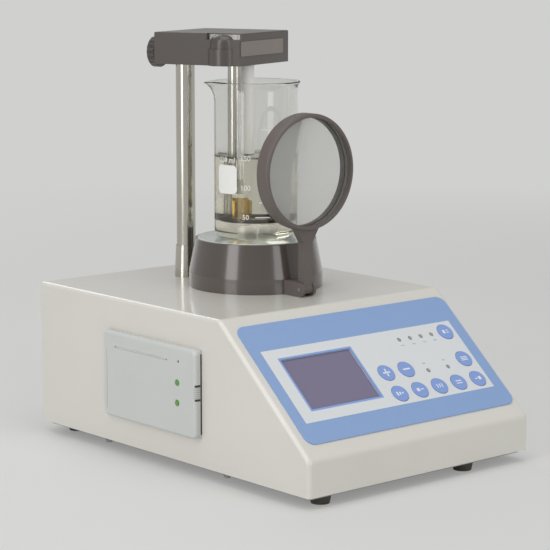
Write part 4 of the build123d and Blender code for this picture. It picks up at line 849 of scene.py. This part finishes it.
def buildHeadHighlightStrip():
    strip = headHighlightStrip
    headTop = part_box("head_body")[1].z
    postMiddle = middle("post")
    turn = Matrix.Rotation(math.radians(strip["turn"]), 4, "Z")
    foot = Vector((postMiddle.x, postMiddle.y, headTop - strip["drop"] * mm))
    # the strip's bright steel is a painted highlight, not a part of the head
    built = boxPiece(
        "HeadHighlightStrip",
        Vector((strip["left"] - strip["thick"], strip["front"], strip["low"])) * mm,
        Vector((strip["left"], strip["back"], strip["high"])) * mm,
        finishes["steel_bright"],
    )
    built.data.transform(Matrix.Translation(foot) @ turn)
    addPiece(built, "head", "head_inset")


buildHeadHighlightStrip()

# Marks for off and on, printed on the two slanted faces of the rocker
rockerMarks = {
    "faces": ((-28.08, 143.18), (-19.56, 142.65), (-11.73, 146.06)),
    "reach": 4.6,
    "height": 42.0,
    "proud": 0.05,
    "tall": 4.6,
    "line": 0.8,
    "ring": 1.9,
    "ringSteps": 32,
}


# depth of the rocker's face at a place across it
def rockerFace(x):
    left, ridge, right = rockerMarks["faces"]
    start, end = (left, ridge) if x < ridge[0] else (ridge, right)
    return start[1] + (end[1] - start[1]) * (x - start[0]) / (end[0] - start[0])


def buildRockerMarks():
    marks = rockerMarks
    white = surface("rockerPrint", "e6e6e2", 0.5, 0.03, 300)
    wide, tall = marks["line"] / 2, marks["tall"] / 2
    bar = [(-wide, -tall), (wide, -tall), (wide, tall), (-wide, tall)]
    ring, ringFaces = [], []
    steps = marks["ringSteps"]
    for n in range(steps):
        angle = 2 * math.pi * n / steps
        for radius in (marks["ring"] - marks["line"], marks["ring"]):
            ring.append((radius * math.cos(angle), radius * math.sin(angle)))
        after = 2 * ((n + 1) % steps)
        ringFaces.append((2 * n, 2 * n + 1, after + 1, after))
    for name, outline, faces, side in (
        ("RockerLine", bar, [(0, 1, 2, 3)], -1),
        ("RockerRing", ring, ringFaces, 1),
    ):
        verts = []
        for x, z in outline:
            spot = marks["faces"][1][0] + side * marks["reach"] + x
            depth = rockerFace(spot) + marks["proud"]
            verts.append((spot * mm, depth * mm, (marks["height"] + z) * mm))
        addPiece(meshObject(name, verts, faces, white, False), "power_rocker", "mechanism_black")


buildRockerMarks()
print("trims built")

# Stage: pale floor, soft lamps and the camera of the photograph
stageValues = {
    "floor": "dededc",
    "floorReach": 14.0,
    "pale": "d0d0cf",
    "fade": (0.3, 1.6),
    "lift": 0.35,
    "world": 0.4,
    "aimHeight": 0.1,
    # name, azimuth, elevation, distance, width, height, power
    "lamps": [
        ("leftBox", -84, 22, 1.5, 0.55, 1.5, 7.6),
        ("rightBox", 1, 22, 1.6, 0.5, 1.5, 4.6),
        ("topBox", -40, 78, 1.7, 1.4, 1.4, 9.5),
        ("rearBox", 165, 30, 1.9, 0.8, 1.2, 5.0),
    ],
}


# matt paper that fades into the backdrop away from the object
def floorFinish():
    finish = Finish("floorPaper", IOR=1.3)
    grain = finish.noise(3, 3)
    floorTone = stageValues["floor"]
    finish.feed("Base Color", finish.blend(grain, shade(floorTone, 0.99), shade(floorTone, 1.01)))
    finish.feed("Roughness", 0.75 + (grain - 0.5) * 0.1)
    spot = finish.place()
    reach = finish.add("ShaderNodeVectorMath", {"operation": "LENGTH"}, {0: spot}, output=1)
    near, far = stageValues["fade"]
    share = ((reach - near) / (far - near)).larger(stageValues["lift"]).smaller(1.0)
    path = finish.add("ShaderNodeLightPath")
    seen = path.larger(Tap(finish, path.socket.node.outputs["Is Glossy Ray"]))
    seen = seen.larger(Tap(finish, path.socket.node.outputs["Is Transmission Ray"]))
    pale = finish.add("ShaderNodeEmission", None, {"Color": colour(stageValues["pale"])})
    paper = Tap(finish, finish.shader.outputs[0])
    mixed = finish.add("ShaderNodeMixShader", None, {0: share * seen, 1: paper, 2: pale})
    finish.tree.links.new(mixed.socket, finish.output.inputs["Surface"])
    return finish.material


def buildFloor():
    reach = stageValues["floorReach"]
    mesh = bpy.data.meshes.new("Floor")
    mesh.from_pydata(
        [(-reach, -reach, 0), (reach, -reach, 0), (reach, reach, 0), (-reach, reach, 0)],
        [],
        [(0, 1, 2, 3)],
    )
    floor = bpy.data.objects.new("Floor", mesh)
    scene.collection.objects.link(floor)
    mesh.materials.append(floorFinish())


# an even light all round, which the camera and clear bodies see as the pale backdrop
def buildBackdrop():
    world = bpy.data.worlds.new("studio")
    scene.world = world
    world.use_nodes = True
    tree = world.node_tree
    light = tree.nodes["Background"]
    light.inputs[1].default_value = stageValues["world"]
    light.inputs[0].default_value = (1, 1, 1, 1)
    seen = tree.nodes.new("ShaderNodeBackground")
    seen.inputs[0].default_value = colour(stageValues["pale"])
    rays = tree.nodes.new("ShaderNodeLightPath")
    pick = tree.nodes.new("ShaderNodeMixShader")
    either = tree.nodes.new("ShaderNodeMath")
    either.operation = "MAXIMUM"
    tree.links.new(rays.outputs["Is Camera Ray"], either.inputs[0])
    tree.links.new(rays.outputs["Is Transmission Ray"], either.inputs[1])
    tree.links.new(either.outputs[0], pick.inputs[0])
    tree.links.new(light.outputs[0], pick.inputs[1])
    tree.links.new(seen.outputs[0], pick.inputs[2])
    tree.links.new(pick.outputs[0], tree.nodes["World Output"].inputs[0])


def buildLamps():
    aim = Vector((midX, 0, stageValues["aimHeight"]))
    for name, azimuth, elevation, distance, width, height, power in stageValues["lamps"]:
        lamp = bpy.data.lights.new(name, "AREA")
        lamp.shape = "RECTANGLE"
        lamp.size = width
        lamp.size_y = height
        lamp.energy = power
        holder = bpy.data.objects.new(name, lamp)
        scene.collection.objects.link(holder)
        turn, rise = math.radians(azimuth), math.radians(elevation)
        level = math.cos(rise)
        away = Vector((math.sin(turn) * level, -math.cos(turn) * level, math.sin(rise)))
        holder.location = aim + away * distance
        holder.rotation_euler = away.to_track_quat("Z", "Y").to_euler()


cameraValues = {
    "focal": 136.87,
    "sensor": 36.0,
    "clipEnd": 60,
    "place": (-0.95494, -1.10864, 0.35978),
    "down": 9.187,
    "roll": -0.045,
    "turn": -40.835,
}


def buildCamera():
    values = cameraValues
    lens = bpy.data.cameras.new("PhotoCamera")
    lens.lens = values["focal"]
    lens.sensor_width = values["sensor"]
    lens.clip_end = values["clipEnd"]
    holder = bpy.data.objects.new("PhotoCamera", lens)
    scene.collection.objects.link(holder)
    holder.location = values["place"]
    angles = (90 - values["down"], values["roll"], values["turn"])
    holder.rotation_euler = [math.radians(angle) for angle in angles]
    scene.camera = holder


buildFloor()
buildBackdrop()
buildLamps()
buildCamera()
scene.view_settings.view_transform = "Standard"
print("stage ready")
